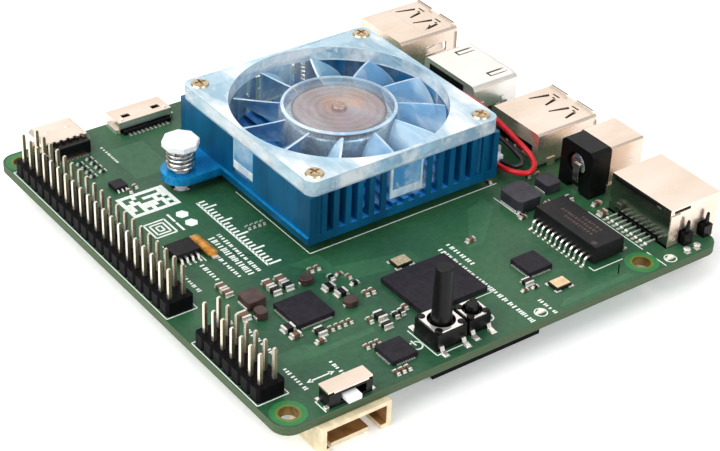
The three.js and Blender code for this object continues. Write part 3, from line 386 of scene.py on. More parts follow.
class Shape:
    """A mesh being made, in board millimetres. Its faces carry material indices."""

    def __init__(self):
        self.bm = bmesh.new()

    def _faces(self, faces, mat):
        for face in faces:
            face.material_index = mat
        return self

    def _fill(self, rings, mat, closed_ends=True):
        """Joins rings of equal length into a skin, with a face over each end."""
        bm = self.bm
        count = len(rings[0])
        faces = []
        for a, b in zip(rings, rings[1:]):
            for i in range(count):
                j = (i + 1) % count
                faces.append(bm.faces.new((a[i], a[j], b[j], b[i])))
        if closed_ends:
            faces.append(bm.faces.new(list(reversed(rings[0]))))
            faces.append(bm.faces.new(rings[-1]))
        return self._faces(faces, mat)

    def prism(self, outline, low, high, mat=0, axis="Z"):
        """Extrudes an anticlockwise outline. Axis X takes (y, z) points and Y takes (z, x)."""
        order = {"Z": lambda u, v, w: (u, v, w), "X": lambda u, v, w: (w, u, v),
                 "Y": lambda u, v, w: (v, w, u)}[axis]
        rings = [[self.bm.verts.new(order(u, v, w)) for u, v in outline] for w in (low, high)]
        return self._fill(rings, mat)

    def box(self, x0, x1, y0, y1, z0, z1, mat=0):
        return self.prism([(x0, y0), (x1, y0), (x1, y1), (x0, y1)], z0, z1, mat)

    def lathe(self, x, y, profile, sides=32, mat=0, turn=0.0):
        """Spins (radius, height) points, listed from the bottom up, about a vertical axis."""
        rings = []
        for radius, z in profile:
            rings.append([self.bm.verts.new((
                x + radius * math.cos(turn + math.tau * i / sides),
                y + radius * math.sin(turn + math.tau * i / sides), z)) for i in range(sides)])
        return self._fill(rings, mat)

    def lathe_x(self, y, z, profile, sides):
        """Spins (x, radius) points about an axis along X."""
        return self._fill([[self.bm.verts.new((
            x, y + r * math.cos(math.tau * k / sides),
            z + r * math.sin(math.tau * k / sides))) for k in range(sides)] for x, r in profile], 0)

    def ring(self, x, y, profile, sides=48, mat=0):
        """Spins a closed loop of (radius, height) points, listed anticlockwise."""
        loops = [[self.bm.verts.new((
            x + r * math.cos(math.tau * i / sides), y + r * math.sin(math.tau * i / sides), z))
            for r, z in profile] for i in range(sides)]
        faces = []
        count = len(profile)
        for i in range(sides):
            a, b = loops[i], loops[(i + 1) % sides]
            for k in range(count):
                n = (k + 1) % count
                faces.append(self.bm.faces.new((a[k], b[k], b[n], a[n])))
        return self._faces(faces, mat)

    def tube(self, points, radius, sides=10, mat=0):
        """A round wire along points."""
        rings = []
        points = [Vector(p) for p in points]
        up = Vector((0, 0, 1))
        for i, p in enumerate(points):
            along = (points[min(i + 1, len(points) - 1)] - points[max(i - 1, 0)]).normalized()
            side = along.cross(up)
            if side.length < 0.2:
                side = along.cross(Vector((1, 0, 0)))
            side.normalize()
            up = side.cross(along).normalized()
            rings.append([self.bm.verts.new(
                p + radius * (side * math.cos(t) + up * math.sin(t)))
                for t in (-math.tau * k / sides for k in range(sides))])
        return self._fill(rings, mat)

    def strip(self, points, across, thick, mat=0):
        """A flat bar along points. Across is the half width vector, thick the full thickness."""
        across = Vector(across)
        points = [Vector(p) for p in points]
        rings = []
        for i, p in enumerate(points):
            along = points[min(i + 1, len(points) - 1)] - points[max(i - 1, 0)]
            lift = along.cross(across).normalized() * (thick / 2)
            rings.append([self.bm.verts.new(p + s * across + t * lift)
                          for s, t in ((-1, -1), (-1, 1), (1, 1), (1, -1))])
        return self._fill(rings, mat)

    def line(self, x0, y0, x1, y1, width=0.2, z0=-0.02, z1=0.025, mat=0):
        """A flat printed line on the board's face."""
        a, b = Vector((x0, y0)), Vector((x1, y1))
        along = (b - a).normalized()
        side = Vector((-along.y, along.x)) * width / 2
        corners = [a - side, b - side, b + side, a + side]
        return self.prism([tuple(c) for c in corners], z0, z1, mat)

    def add(self, other, matrix=None, mat=None):
        """Copies another shape in, moved by matrix."""
        copy = bpy.data.meshes.new("copy")
        other.bm.to_mesh(copy)
        if matrix is not None:
            copy.transform(matrix)
        if mat is not None:
            for polygon in copy.polygons:
                polygon.material_index = mat
        self.bm.from_mesh(copy)
        bpy.data.meshes.remove(copy)
        return self

    def temporary(self):
        mesh = bpy.data.meshes.new("temporary")
        bmesh.ops.recalc_face_normals(self.bm, faces=self.bm.faces[:])
        self.bm.to_mesh(mesh)
        made = bpy.data.objects.new("temporary", mesh)
        bpy.context.scene.collection.objects.link(made)
        return made

    def carve(self, *tools):
        """Cuts each tool's shape out of this one."""
        body = self.temporary()
        cutters = [tool.temporary() for tool in tools]
        for cutter in cutters:
            change = body.modifiers.new("cut", "BOOLEAN")
            change.operation = "DIFFERENCE"
            change.solver = "EXACT"
            change.object = cutter
        result = bpy.data.meshes.new_from_object(
            body.evaluated_get(bpy.context.evaluated_depsgraph_get()))
        self.bm.free()
        self.bm = bmesh.new()
        self.bm.from_mesh(result)
        for item in [body, *cutters]:
            bpy.data.objects.remove(item)
        return self

    def done(self, name, materials, slot, body="board", replaces=(), bevel=0.0, segments=2,
             angle=32.0):
        """Turns the shape into a piece that rides on a body."""
        mesh = bpy.data.meshes.new(name)
        bmesh.ops.recalc_face_normals(self.bm, faces=self.bm.faces[:])
        self.bm.to_mesh(mesh)
        self.bm.free()
        mesh.transform(TO_ROW)
        for material in materials if isinstance(materials, (list, tuple)) else [materials]:
            mesh.materials.append(material)
        mesh.shade_smooth()
        mesh.set_sharp_from_angle(angle=math.radians(angle))
        piece = bpy.data.objects.new(name, mesh)
        bpy.context.scene.collection.objects.link(piece)
        if bevel:
            soften = piece.modifiers.new("soften", "BEVEL")
            soften.width = bevel * MM
            soften.segments = segments
            soften.limit_method = "ANGLE"
            soften.angle_limit = math.radians(angle)
            soften.harden_normals = True
        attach(piece, body)
        if replaces:
            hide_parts(*([replaces] if isinstance(replaces, str) else replaces))
        return piece


def copy_of(node_name, mat=0):
    """A CAD node's own shape, with its flat faces whole, ready for softened edges and details."""
    shape = Shape()
    shape.bm.from_mesh(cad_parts[node_name].data)
    shape.bm.transform(FROM_ROW)
    bmesh.ops.remove_doubles(shape.bm, verts=shape.bm.verts[:], dist=0.0005)
    bmesh.ops.dissolve_limit(shape.bm, angle_limit=math.radians(0.5), verts=shape.bm.verts[:],
                             edges=shape.bm.edges[:])
    for face in shape.bm.faces:
        face.material_index = mat
    return shape


def refinish(node_name, piece, materials, slot, **options):
    """Shows a CAD node's own shape with softened edges and a new finish."""
    return copy_of(node_name).done(piece, materials, slot, replaces=node_name, **options)


def rounded(x0, x1, y0, y1, r, steps=6):
    """A rectangle with round corners, anticlockwise."""
    points = []
    for cx, cy, start in ((x1 - r, y0 + r, -90), (x1 - r, y1 - r, 0), (x0 + r, y1 - r, 90),
                          (x0 + r, y0 + r, 180)):
        for k in range(steps + 1):
            angle = math.radians(start + 90 * k / steps)
            points.append((cx + r * math.cos(angle), cy + r * math.sin(angle)))
    return points


CORNERS = [(sx, sy) for sx in (-1, 1) for sy in (-1, 1)]


def circle(x, y, r, sides=40):
    return [(x + r * math.cos(math.tau * k / sides), y + r * math.sin(math.tau * k / sides))
            for k in range(sides)]


def plate(outlines, z0, z1, mat=0):
    """A flat plate: the first outline is its edge and the others are holes."""
    curve = bpy.data.curves.new("plate", "CURVE")
    curve.dimensions = "2D"
    curve.fill_mode = "BOTH"
    curve.extrude = (z1 - z0) / 2
    for outline in outlines:
        spline = curve.splines.new("POLY")
        spline.points.add(len(outline) - 1)
        for point, (x, y) in zip(spline.points, outline):
            point.co = (x, y, 0, 1)
        spline.use_cyclic_u = True
    holder = bpy.data.objects.new("plate", curve)
    bpy.context.scene.collection.objects.link(holder)
    mesh = bpy.data.meshes.new_from_object(
        holder.evaluated_get(bpy.context.evaluated_depsgraph_get()))
    shape = Shape()
    shape.bm.from_mesh(mesh)
    bmesh.ops.remove_doubles(shape.bm, verts=shape.bm.verts[:], dist=0.0005)
    shape.bm.transform(Matrix.Translation((0, 0, (z0 + z1) / 2)))
    for face in shape.bm.faces:
        face.material_index = mat
    bpy.data.objects.remove(holder)
    return shape


def smooth_route(points, steps=8):
    """A Catmull-Rom curve through points."""
    points = [Vector(p) for p in points]
    ends = [2 * points[0] - points[1], *points, 2 * points[-1] - points[-2]]
    out = []
    for a, b, c, d in zip(ends, ends[1:], ends[2:], ends[3:]):
        for k in range(steps):
            t = k / steps
            out.append(0.5 * (2 * b + (c - a) * t + (2 * a - 5 * b + 4 * c - d) * t * t
                              + (3 * b - a - 3 * c + d) * t ** 3))
    out.append(points[-1])
    return out


# ---------------------------------------------------------------- the board

PITCH = 2.54
HOLE_RADIUS = 1.6
SCREW_OFFSET = 17.5
BLADE_COUNT = 11
INK_LOW, INK_HIGH = -0.02, 0.025
BOARD = Span("circuit_board")
UNDER = -1.6
SINK = Span("heat_sink")
FAN = Span("fan_frame")
FAN_X, FAN_Y = FAN.x, FAN.y
LONG = Span("long_pin_header")
SHORT = Span("short_pin_header")
JACK = Span("network_jack_shell")
HOLES = [(3.2, 3.2), (74.4, 3.2), (3.2, 86.6), (74.4, 86.6)]
PINS = {"left": Span("push_pin_left"), "back": Span("push_pin_back")}


def make_board():
    side = BOARD.x1
    notch = (JACK.x0 - 0.3, Span("network_jack_housing").x1, JACK.y0 - 0.3, JACK.y1 + 0.3)
    edge = rounded(0, side, 0, side, 3.0, 12)
    edge = [p for p in edge if p[0] < side - 0.01 or p[1] > notch[3] or p[1] < notch[2]]
    start = max(range(len(edge)), key=lambda i: (edge[i][1] < notch[2], edge[i][0], edge[i][1]))
    mouth = [(side, notch[2]), (notch[0], notch[2]), (notch[0], notch[3]), (side, notch[3])]
    edge = edge[:start + 1] + mouth + edge[start + 1:]
    holes = [circle(x, y, HOLE_RADIUS) for x, y in HOLES]
    holes += [circle(p.x, p.y, 1.9) for p in PINS.values()]
    body = plate([edge, *holes], UNDER, 0)
    for face in body.bm.faces:
        if abs(face.normal.z) < 0.5:
            face.material_index = 1
    body.done("board_laminate", [mask, laminate], "board_laminate", replaces="circuit_board",
              bevel=0.06, angle=50)
    rings = Shape()
    for x, y in HOLES:
        for face in ((0, 0.03), (UNDER - 0.05, UNDER)):
            rings.ring(x, y, [(2.0, face[0] - 0.02), (2.9, face[0] - 0.02), (2.9, face[1]),
                              (2.0, face[1])], mat=0)
            rings.ring(x, y, [(1.6, face[0] - 0.02), (2.0, face[0] - 0.02), (2.0, face[1] - 0.005),
                              (1.6, face[1] - 0.005)], mat=2)
        rings.ring(x, y, [(1.5, UNDER), (1.62, UNDER), (1.62, 0.0), (1.5, 0.0)], mat=1)
    rings.done("mounting_hole_rings", [mask_bright, bronze, mask_olive], "gold_plating")


def make_copper():
    """Copper under the mask: poured areas and traces that show as faint relief."""
    pours = Shape()
    areas = [
        [(17.2, 70.6), (24.6, 70.6), (24.6, 81.6), (17.2, 81.6)],
        [(52.8, 22.2), (56.0, 22.2), (64.4, 29.8), (64.4, 33.0), (60.0, 31.6)],
        [(24.6, 34.6), (30.6, 34.6), (30.6, 30.2), (44.0, 27.0), (44.0, 23.6), (31.2, 25.4)],
        [(9.4, 15.6), (14.6, 15.6), (17.0, 13.4), (26.0, 13.4), (26.0, 12.2), (9.4, 12.2)],
        [(54.5, 1.0), (70.6, 1.0), (70.6, 2.2), (56.5, 2.4)],
        [(5.6, 87.2), (6.2, 87.2), (6.2, 40.0), (5.6, 40.0)],
    ]
    for area in areas:
        pours.prism(area, -0.02, 0.012)
    pours.done("copper_pours", mask_pour, "board_laminate")
    traces = Shape()

    def run(points, width=0.18, top=0.014):
        for (x0, y0), (x1, y1) in zip(points, points[1:]):
            traces.line(x0, y0, x1, y1, width, -0.02, top)
            traces.prism(circle(x1, y1, width / 2, 8), -0.02, top)

    for k in range(5):
        run([(17.0 + 0.75 * k, 61.0), (17.0 + 0.75 * k, 45.5 - k), (19.0 + 0.75 * k, 43.0 - k)])
    for k in range(4):
        run([(19.5 + 0.6 * k, 13.2), (22.5 + 0.6 * k, 10.8), (22.5 + 0.6 * k, 9.6)])
        run([(9.5, 13.0 - 0.5 * k), (17.0 - 0.4 * k, 13.0 - 0.5 * k), (20.0, 10.2 - 0.5 * k)], 0.14)
    for k in range(3):
        run([(56.0 + k, 3.4 - 0.45 * k), (69.4 - 0.5 * k, 3.4 - 0.45 * k), (70.8, 4.8)], 0.2)
    for k in range(6):
        run([(26.2 + 0.5 * k, 59.0), (26.2 + 0.5 * k, 50.6), (25.0 + 0.5 * k, 49.4)], 0.14)
        run([(47.0 + 0.55 * k, 33.8), (49.4 + 0.55 * k, 31.4), (49.4 + 0.55 * k, 27.2)], 0.14)
    for row in range(0, 20, 3):
        y = LONG.y0 + PITCH * (row + 0.5)
        run([(6.0, y), (7.6, y), (9.2, y - 1.6)], 0.24)
    for k in range(5):
        run([(61.0, 14.6 - 0.5 * k), (63.4, 15.4 - 1.19 * k)], 0.15)
    traces.done("copper_traces", mask_trace, "board_laminate")
    vias = Shape()
    spots = [(random.uniform(7, 29), random.uniform(30, 80)) for _ in range(60)]
    spots += [(random.uniform(20, 80), random.uniform(1.5, 34)) for _ in range(90)]
    blocked = [Span(n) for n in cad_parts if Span(n).z1 > 0.1 and n not in (
        "circuit_board", "heat_sink", "fan_frame", "fan_wire_red", "fan_wire_black")]
    for x, y in spots:
        if all(x < s.x0 - 0.5 or x > s.x1 + 0.5 or y < s.y0 - 0.5 or y > s.y1 + 0.5
               for s in blocked):
            vias.ring(x, y, [(0.09, -0.01), (0.22, -0.01), (0.22, 0.02), (0.09, 0.02)], sides=10)
    vias.done("tented_vias", mask_trace, "board_laminate")


def make_silk():
    """White print: outlines, a travel arrow, symbols and plain marks. It spells nothing."""
    ink = Shape()

    def outline(x0, y0, x1, y1, width=0.2):
        for a, b, c, d in ((x0, y0, x1, y0), (x1, y0, x1, y1), (x1, y1, x0, y1), (x0, y1, x0, y0)):
            ink.line(a, b, c, d, width)

    for header in (LONG, SHORT):
        outline(header.x0 - 0.25, header.y0 - 0.3, header.x1 + 0.3, header.y1 + 0.3)
    for x0, y0, x1, y1, width in (
            (29.5, 35.4, 69.6, 35.4, 0.22), (29.5, 35.4, 29.5, 58.0, 0.16),
            (66.0, 5.7, 72.4, 5.7, 0.2), (66.0, 5.7, 66.0, 7.0, 0.2),
            (77.2, 5.9, 77.2, 19.6, 0.2), (77.2, 0.2, 77.2, 4.9, 0.2),
            (66.2, 24.6, 66.2, 32.0, 0.16), (30.15, 2.0, 30.15, 9.6, 0.2),
            (30.15, 2.0, 36.4, 2.0, 0.2), (47.9, 10.4, 40.8, 10.4, 0.16),
            (47.9, 10.4, 47.9, 22.9, 0.12), (14.05, 43.0, 14.05, 50.2, 0.16),
            (10.2, 50.2, 14.05, 50.2, 0.16), (8.0, 0.3, 8.0, 3.2, 0.2)):
        ink.line(x0, y0, x1, y1, width)
    # travel arrow beside the slide switch
    ink.line(10.2, 7.6, 14.0, 7.6, 0.28)
    for tip, way in ((9.5, 1), (14.7, -1)):
        ink.prism([(tip, 7.6), (tip + way, 7.6 - way * 0.5), (tip + way, 7.6 + way * 0.5)],
                  INK_LOW, INK_HIGH)
    # lamp outline near the front edge and the one beside the network jack
    for x, y in ((51.0, 1.75), (79.3, 1.4)):
        ink.ring(x, y, [(0.95, INK_LOW), (1.15, INK_LOW), (1.15, INK_HIGH), (0.95, INK_HIGH)],
                 sides=24)
    # power and reset symbols
    for x, y, gap in ((29.0, 5.8, 0.7), (42.9, 5.4, 0.9)):
        for k in range(20):
            a = math.radians(90 + 25 * gap) + math.radians(360 - 50 * gap) * k / 20
            b = math.radians(90 + 25 * gap) + math.radians(360 - 50 * gap) * (k + 1) / 20
            ink.line(x + math.cos(a), y + math.sin(a), x + math.cos(b), y + math.sin(b), 0.28)
    ink.line(29.0, 5.8, 29.0, 7.2, 0.28)
    ink.prism([(43.1, 6.9), (43.9, 6.3), (43.1, 5.8)], INK_LOW, INK_HIGH)
    # a grid of squares, and two plain shapes, in place of the marks on the real board
    cells = random.Random(11)
    for i in range(11):
        for j in range(8):
            if cells.random() < 0.52 or i in (0, 10) or j in (0, 7):
                x, y = 10.6 + i * 0.84, 60.2 + j * 0.84
                ink.box(x, x + 0.8, y, y + 0.8, INK_LOW, INK_HIGH)
    for y in (54.0, 57.0):
        ink.prism(circle(18.0, y, 1.2, 6), INK_LOW, INK_HIGH)
        ink.line(15.8, y - 1.3, 15.8, y + 1.3, 0.4)
    for k in range(3):
        outline(10.6 + 0.75 * k, 53.0 + 0.75 * k, 14.6 - 0.75 * k, 57.4 - 0.75 * k, 0.34)
    # a ruler strip where the real board carries its name
    ink.line(21.9, 36.4, 21.9, 58.6, 0.42)
    for k in range(23):
        reach = 2.6 if k % 5 == 0 else 1.5
        ink.line(21.9, 36.6 + k * 0.99, 21.9 + reach, 36.6 + k * 0.99, 0.42)
    # rows of dashes where the real board carries small print
    for x, y0, y1, size in (
            (48.4, 0.6, 25.2, 1.0), (50.4, 18.4, 25.2, 0.9), (18.2, 36.0, 48.4, 1.3),
            (19.8, 36.0, 48.4, 0.9), (16.2, 36.4, 43.6, 0.8), (12.7, 37.6, 42.2, 0.9),
            (8.6, 36.4, 41.4, 0.8), (9.3, 16.4, 23.4, 0.9), (8.6, 6.4, 12.2, 0.8),
            (15.5, 6.4, 9.8, 0.7), (53.0, 0.4, 4.6, 0.8), (17.2, 77.4, 83.6, 0.5)):
        y = y0
        while y < y1:
            length = cells.uniform(0.35, 0.95)
            reach = size / 2 * cells.uniform(0.65, 1.0)
            ink.line(x - reach, y, x + reach, y, min(0.34, length * 0.6))
            y += length
    ink.done("silkscreen_marks", silk, "board_laminate")


# ---------------------------------------------------------------- pin headers


def make_header(name, span, rows):
    base = Shape()
    mid_x = span.x
    pins_at = [(span.x0 + PITCH * (0.5 + c), span.y0 + PITCH * (0.5 + r))
               for r in range(rows) for c in (0, 1)]
    notch = 0.42
    right, left = [], []
    for r in range(rows):
        y = span.y0 + PITCH * r
        right += [(span.x1 - notch, y), (span.x1, y + 0.45), (span.x1, y + PITCH - 0.45),
                  (span.x1 - notch, y + PITCH)]
        left += [(span.x0 + notch, y), (span.x0, y + 0.45), (span.x0, y + PITCH - 0.45),
                 (span.x0 + notch, y + PITCH)]
    outline = []
    for point in right + left[::-1]:
        if not outline or (Vector(point) - Vector(outline[-1])).length > 0.01:
            outline.append(point)
    base.prism(outline, 0.0, PITCH)
    for r in range(1, rows):
        y = span.y0 + PITCH * r
        base.box(mid_x - 0.15, mid_x + 0.15, y - 0.15, y + 0.15, PITCH - 0.05, PITCH + 0.01)
    base.done(f"{name}_base", black_nylon, "black_plastic", bevel=0.12)
    pins = Shape()
    half = 0.30
    for x, y in pins_at:
        tip = half * 0.62
        rings = [(half, span.z0 + 0.4), (half, span.z1 - 0.35), (tip, span.z1)]
        rings.insert(0, (tip, span.z0))
        loops = [[pins.bm.verts.new((x + sx * r, y + sy * r, z))
                  for sx, sy in ((-1, -1), (1, -1), (1, 1), (-1, 1))] for r, z in rings]
        pins._fill(loops, 0)
    pins.bm.normal_update()
    for face in pins.bm.faces:
        face.material_index = 1 if face.normal.y < -0.7 else 0
    pins.done(f"{name}_pins", [pin_gold, pin_shade], "gold_plating", replaces=name, bevel=0.03,
              segments=1)
    joints = Shape()
    for x, y in pins_at:
        joints.lathe(x, y, [(0.38, UNDER - 1.0), (0.50, UNDER - 0.45), (0.85, UNDER - 0.03),
                            (0.85, UNDER + 0.02)], 16)
    joints.done(f"{name}_solder", solder, "gold_plating")


# ---------------------------------------------------------------- small parts soldered to the board

SILVER, BROWN, BLACK, GREY, GREEN = range(5)
SMALL_FINISHES = [solder, ceramic, resistor, ferrite, mask_pour]


def add_small(shape, x, y, length, width, height, kind, along="y", z=0.0, flip=1):
    """A two-ended part: its body, its plated ends and the solder that climbs them."""
    def put(u0, u1, v0, v1, low, high, mat):
        if along == "x":
            shape.box(x + u0, x + u1, y + v0, y + v1, z + min(low, high), z + max(low, high), mat)
        else:
            shape.box(x + v0, x + v1, y + u0, y + u1, z + min(low, high), z + max(low, high), mat)
    end = length * 0.22
    half_l, half_w = length / 2, width / 2
    put(-half_l + end, half_l - end, -half_w + 0.02, half_w - 0.02, 0.03 * flip,
        height * 0.97 * flip, kind)
    for sign in (-1, 1):
        inner, outer = sorted((sign * (half_l - end), sign * half_l))
        put(inner, outer, -half_w, half_w, 0.02 * flip, height * flip, SILVER)
        inner, outer = sorted((sign * half_l, sign * (half_l + 0.22)))
        put(inner, outer, -half_w - 0.04, half_w + 0.04, 0.0, min(0.22, height * 0.5) * flip,
            SILVER)


def make_small_parts():
    parts = Shape()
    rows = [
        # x, y, length, width, height, kind, axis
        (18.5, 31.5, 1.8, 1.5, 0.9, BROWN, "y"), (20.9, 31.5, 1.8, 1.5, 0.9, BROWN, "y"),
        (18.5, 29.4, 1.8, 1.5, 0.9, BLACK, "y"), (20.9, 29.4, 1.8, 1.5, 0.9, BLACK, "y"),
        (26.7, 31.2, 1.2, 0.65, 0.5, BROWN, "y"), (28.0, 31.2, 1.2, 0.65, 0.5, BROWN, "y"),
        (28.3, 27.7, 1.4, 0.8, 0.6, BLACK, "y"), (26.3, 25.5, 1.9, 1.5, 0.9, BLACK, "x"),
        (27.1, 23.2, 1.9, 1.5, 0.9, BLACK, "x"), (14.6, 20.0, 2.0, 1.5, 0.9, BLACK, "x"),
        (14.6, 17.9, 1.8, 1.0, 0.8, BROWN, "x"), (18.3, 16.5, 1.9, 1.6, 0.9, BLACK, "y"),
        (17.0, 14.6, 1.6, 0.8, 0.7, BROWN, "x"), (28.5, 14.6, 2.0, 1.7, 1.0, BLACK, "y"),
        (28.0, 12.2, 1.4, 1.7, 0.9, BLACK, "y"), (30.8, 13.6, 1.5, 0.8, 0.7, BLACK, "y"),
        (32.1, 13.8, 1.5, 0.8, 0.7, BLACK, "y"), (33.4, 14.6, 1.2, 0.7, 0.6, BROWN, "y"),
        (26.6, 14.8, 1.4, 0.7, 0.6, BROWN, "y"), (10.6, 26.4, 1.9, 1.6, 0.9, BROWN, "y"),
        (11.8, 35.0, 1.6, 1.5, 0.8, BROWN, "y"), (11.8, 33.1, 1.5, 1.5, 0.8, BROWN, "y"),
        (30.4, 21.0, 1.4, 0.7, 0.6, BROWN, "y"), (31.6, 21.0, 1.4, 0.7, 0.6, BROWN, "y"),
        (30.6, 24.3, 1.4, 0.7, 0.6, BLACK, "x"), (30.9, 26.4, 1.2, 0.6, 0.5, BROWN, "y"),
        (30.0, 27.8, 1.2, 0.6, 0.5, BROWN, "x"), (8.0, 26.8, 1.2, 0.6, 0.5, GREY, "y"),
        (54.2, 23.6, 1.6, 0.8, 0.8, BROWN, "x"), (66.3, 24.2, 1.2, 0.7, 0.6, BROWN, "x"),
        (67.0, 25.6, 1.2, 0.7, 0.6, BROWN, "x"), (54.3, 9.0, 1.5, 1.7, 0.8, BLACK, "y"),
        (52.6, 7.6, 1.1, 0.6, 0.5, BROWN, "x"), (54.6, 7.4, 1.1, 0.6, 0.5, BLACK, "x"),
        (71.4, 24.6, 1.1, 0.6, 0.5, GREY, "x"), (73.0, 25.6, 1.1, 0.6, 0.5, BROWN, "x"),
        (74.4, 24.4, 1.1, 0.6, 0.5, BROWN, "y"), (66.4, 25.0, 0.9, 0.5, 0.4, GREY, "x"),
        (78.6, 17.6, 1.6, 1.2, 0.9, BROWN, "x"), (79.8, 20.4, 1.6, 0.8, 0.7, BROWN, "x"),
        (77.6, 33.0, 1.6, 0.8, 0.7, BROWN, "y"), (75.6, 34.0, 1.2, 0.6, 0.5, BLACK, "y"),
        (68.6, 36.4, 1.2, 0.6, 0.5, BROWN, "y"), (77.0, 24.4, 1.6, 0.8, 0.7, GREY, "y"),
        (14.0, 67.8, 1.2, 0.6, 0.5, BROWN, "y"), (15.6, 68.6, 1.1, 0.6, 0.5, BROWN, "y"),
        (79.0, 50.2, 1.2, 0.6, 0.5, BROWN, "x"), (77.0, 52.0, 1.2, 0.6, 0.5, BLACK, "y"),
        (76.2, 60.0, 1.6, 0.8, 0.7, BROWN, "y"), (76.2, 63.0, 1.6, 0.8, 0.7, BROWN, "y"),
        (36.5, 83.2, 1.2, 0.6, 0.5, BROWN, "x"), (44.0, 84.6, 1.6, 0.8, 0.7, BROWN, "x"),
        (48.6, 84.6, 1.6, 0.8, 0.7, BROWN, "x"), (53.0, 85.2, 1.2, 0.6, 0.5, BLACK, "y"),
        (68.2, 82.0, 1.6, 0.8, 0.7, BROWN, "y"), (70.6, 79.2, 1.6, 0.8, 0.7, BROWN, "y"),
    ]
    for x, y, length, width, height, kind, along in rows:
        add_small(parts, x, y, length, width, height, kind, along)
    for x in (20.3, 21.5, 22.7, 23.9):
        add_small(parts, x, 16.4, 1.15, 0.55, 0.5, BROWN, "y")
    for x in (25.0, 26.0, 27.0, 28.0):
        add_small(parts, x, 47.2, 1.1, 0.5, 0.45, GREEN, "y")
    for x in (22.2, 23.3, 24.4):
        add_small(parts, x, 1.9, 1.3, 0.6, 0.5, BROWN, "y")
        add_small(parts, x, 9.6, 1.1, 0.6, 0.5, BROWN, "y")
    for y in (75.4, 77.0, 78.6, 80.2):
        add_small(parts, 11.2, y, 1.1, 0.55, 0.5, GREY, "x")
        add_small(parts, 13.4, y + 0.6, 1.1, 0.55, 0.5, GREY, "x")
    rng = random.Random(5)
    for _ in range(70):
        x, y = rng.choice([(rng.uniform(30, 68), rng.uniform(16, 78)),
                           (rng.uniform(56, 74), rng.uniform(14, 70))])
        if (x - 41.6) ** 2 + (y - 83.6) ** 2 > 16:
            add_small(parts, x, y, 1.0, 0.5, 0.45, rng.choice([BROWN, BLACK]), rng.choice("xy"),
                      UNDER, -1)
    parts.done("small_soldered_parts", SMALL_FINISHES, "chip_plastic", bevel=0.05, segments=1)


def add_terminal_block(shape, x0, x1, y0, y1, height, mat=0, corner=0.5):
    """A moulded power inductor: a block whose plated ends wrap under its two sides."""
    outline = [(x0 + corner, y0), (x1 - corner, y0), (x1, y0 + corner), (x1, y1 - corner),
               (x1 - corner, y1), (x0 + corner, y1), (x0, y1 - corner), (x0, y0 + corner)]
    shape.prism(outline, 0.12, height, mat)
    for a, b in ((x0 - 0.12, x0 + 0.7), (x1 - 0.7, x1 + 0.12)):
        shape.box(a, b, y0 + corner + 0.1, y1 - corner - 0.1, 0.0, 0.5, 2)


def make_inductors():
    blocks = Shape()
    big = Span("input_inductor")
    add_terminal_block(blocks, big.x0, big.x1, big.y0, big.y1, big.z1 - 0.5, 0, 0.8)
    add_terminal_block(blocks, 74.4, 77.8, 27.3, 31.2, 2.0, 0, 0.5)
    core = Span("core_power_inductor")
    add_terminal_block(blocks, core.x0, core.x1, core.y0, core.y1, core.z1, 1, 0.35)
    add_terminal_block(blocks, 11.9, 13.9, 24.1, 26.3, 1.5, 1, 0.45)
    add_terminal_block(blocks, 23.0, 25.5, 28.0, 30.0, 1.2, 1, 0.6)
    add_terminal_block(blocks, 25.5, 28.0, 19.1, 21.1, 1.2, 1, 0.6)
    blocks.done("power_inductors", [ferrite, ferrite_brown, solder], "ferrite",
                replaces=("input_inductor", "core_power_inductor"), bevel=0.12)


def add_chip(shape, x0, x1, y0, y1, height, dot=True):
    """A flat moulded package with a pin-one dimple."""
    shape.box(x0, x1, y0, y1, 0.04, height, 0)
    if dot:
        shape.lathe(x0 + 0.9, y1 - 0.9, [(0.28, height - 0.02), (0.28, height + 0.008)], 16, 2)


def add_side_pads(shape, x0, x1, y0, y1, pitch=0.4, reach=0.28, sides="lrfb"):
    """The row of solder-wetted pads round a leadless chip."""
    for side in sides:
        low, high = (y0, y1) if side in "lr" else (x0, x1)
        count = int((high - low - 0.8) / pitch)
        start = (low + high) / 2 - (count - 1) * pitch / 2
        for k in range(count):
            at = start + k * pitch
            a, b = at - pitch * 0.28, at + pitch * 0.28
            if side == "l":
                shape.box(x0 - reach, x0 + 0.1, a, b, 0.0, 0.12, 1)
            elif side == "r":
                shape.box(x1 - 0.1, x1 + reach, a, b, 0.0, 0.12, 1)
            elif side == "f":
                shape.box(a, b, y0 - reach, y0 + 0.1, 0.0, 0.12, 1)
            else:
                shape.box(a, b, y1 - 0.1, y1 + reach, 0.0, 0.12, 1)


